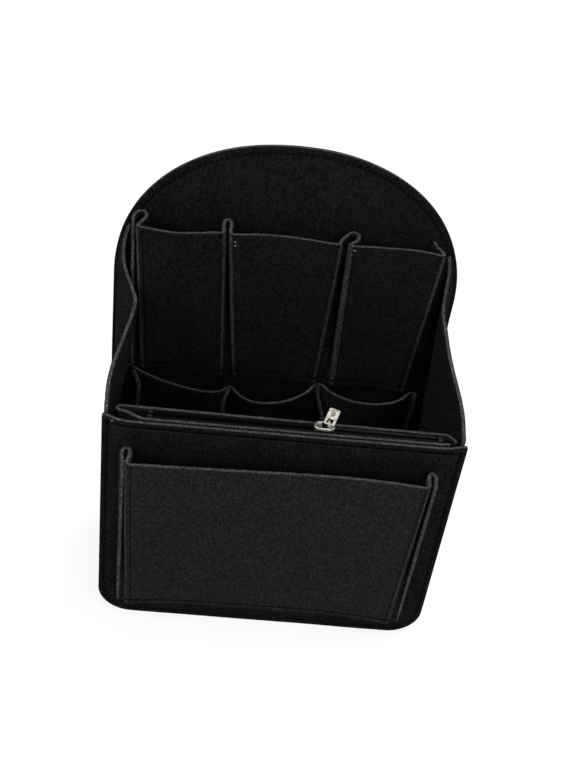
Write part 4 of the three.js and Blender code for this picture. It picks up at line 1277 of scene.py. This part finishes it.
def zip_pull():
    """The pull: a rounded tab with a window for the bail and a small boss near its far end."""
    rise = PULL_THICK / 2 + PULL_BOSS_RISE
    profile = [(0, 0)] + [(inset, rise - depth) for inset, depth in pull_boss_edge]
    place = (0, PULL_LENGTH - PULL_BAR / 2 - PULL_WIDTH / 2, 0)
    # The boss gets the darker plating as painted shade
    boss = oval_solid("pull_boss", PULL_BOSS, PULL_BOSS, profile, place, painted_shade_metal, PULL_BOSS_POINTS)
    piece = joined([pull_plate(), boss], "zip_pull_tab")
    turned = Matrix.Rotation(-PULL_TWIST, 4, "Z") @ Matrix.Rotation(math.pi / 2 - PULL_LEAN, 4, "X")
    piece.data.transform(Matrix.Translation(PULL_PIVOT) @ turned)
    dress(piece, "pull", "metal", "zip_pull")


# Camera, light and floor
def add_object(name, data):
    thing = bpy.data.objects.new(name, data)
    bpy.context.scene.collection.objects.link(thing)
    return thing


def add_camera():
    """The photograph's viewpoint."""
    level = math.cos(CAMERA_DOWN)
    forward = Vector((
        math.sin(-CAMERA_TURN) * level, math.cos(CAMERA_TURN) * level, -math.sin(CAMERA_DOWN),
    ))
    right = forward.cross(Vector((0, 0, 1))).normalized()
    up = right.cross(forward)
    c, s = math.cos(CAMERA_ROLL), math.sin(CAMERA_ROLL)
    axes = Matrix((c * right + s * up, -s * right + c * up, -forward)).transposed()
    data = bpy.data.cameras.new("camera")
    data.sensor_width = SENSOR
    data.lens = CAMERA_FOCAL_PX * SENSOR / IMAGE_HEIGHT_PX
    camera = add_object("camera", data)
    camera.matrix_world = Matrix.Translation(CAMERA_PLACE) @ axes.to_4x4()
    bpy.context.scene.camera = camera


def add_lamp(name, place, size, power):
    """A round soft lamp that looks at the middle of the rim's height."""
    data = bpy.data.lights.new(name, "AREA")
    data.shape = "DISK"
    data.size = size
    data.energy = power
    lamp = add_object(name, data)
    lamp.location = place
    lamp.rotation_euler = (Vector((0, 0, RIM)) - Vector(place)).to_track_quat("-Z", "Y").to_euler()


def seen_directly(tree):
    """1 for rays from the camera, and for those that metal or glass turns; 0 for the light's own rays."""
    path = add_node(tree, "LightPath", {}).outputs
    found = path["Is Camera Ray"]
    for kind in ("Is Glossy Ray", "Is Transmission Ray"):
        found = add_node(tree, "Math", {0: found, 1: path[kind]}, operation="MAXIMUM").outputs["Value"]
    return found


def mix_shaders(tree, factor, a, b):
    return add_node(tree, "MixShader", {"Fac": factor, 1: a, 2: b}).outputs["Shader"]


def add_world():
    """A dim pale studio, white where it is seen directly."""
    world = bpy.data.worlds.new("studio")
    bpy.context.scene.world = world
    world.use_nodes = True
    tree = world.node_tree
    light = tree.nodes["Background"]
    set_inputs(tree, light, {"Color": PALE, "Strength": WORLD_LEVEL})
    white = add_node(tree, "Background", {"Color": WHITE, "Strength": 1})
    shader = mix_shaders(tree, seen_directly(tree), light.outputs["Background"], white.outputs["Background"])
    set_inputs(tree, tree.nodes["World Output"], {"Surface": shader})


def floor_like():
    """Pale floor. Seen directly it glows white, with a share of its own shade that keeps the shadow."""
    material, tree, shader, place = new_material("pale_floor")
    mottle = noise_node(tree, place, 3, 2, 0.5)
    colour = ramp_node(tree, mottle, (0.3, (0.72, 0.72, 0.71)), (0.7, (0.76, 0.76, 0.75)))
    set_inputs(tree, shader, {"Base Color": colour, "Roughness": 0.9})
    own = shader.outputs["BSDF"]
    glow = add_node(tree, "Emission", {"Color": WHITE, "Strength": 1}).outputs["Emission"]
    seen = mix_shaders(tree, FLOOR_SHARE, glow, own)
    surface = mix_shaders(tree, seen_directly(tree), own, seen)
    set_inputs(tree, tree.nodes["Material Output"], {"Surface": surface})
    return material


def add_room():
    mesh = bpy.data.meshes.new("floor")
    reach = FLOOR_REACH
    corners = [(-reach, -reach, 0), (reach, -reach, 0), (reach, reach, 0), (-reach, reach, 0)]
    mesh.from_pydata(corners, [], [(0, 1, 2, 3)])
    mesh.materials.append(floor_like())
    add_object("floor", mesh)
    bpy.context.scene.view_settings.view_transform = "Standard"
    for name, (place, size, power) in lamps.items():
        add_lamp(name, place, size, power)


add_camera()
add_world()
add_room()
panel("back_panel", back_outline, back_middle_y, ARCH_SEAM, 1)
panel("front_panel", front_outline, front_middle_y, PANEL_SEAM, 2)
side_strip()
tall, short, slip = tall_pockets(), short_pockets(), slip_pocket()
zip_pouch()
front_stitches()
back_stitches()
pleated_stitches("slip", "slip_pocket_hem_thread", slip, SLIP_STEPS, slip_hems, slip_folds)
pleated_stitches("tall", "tall_pocket_hem_thread", tall, TALL_STEPS, tall_hems, tall_folds)
short_stitches(short)
for number, places in enumerate(rib_places, 1):
    seam_rib(number, places, short[0])
bar_tacks(tall, short)
for side in ("front", "rear"):
    zip_tape(side)
    zip_coil(side)
for stop in ("zip_top_stop_front", "zip_top_stop_rear", "zip_bottom_stop"):
    zip_stop(stop)
slider_body()
slider_bail()
zip_pull()
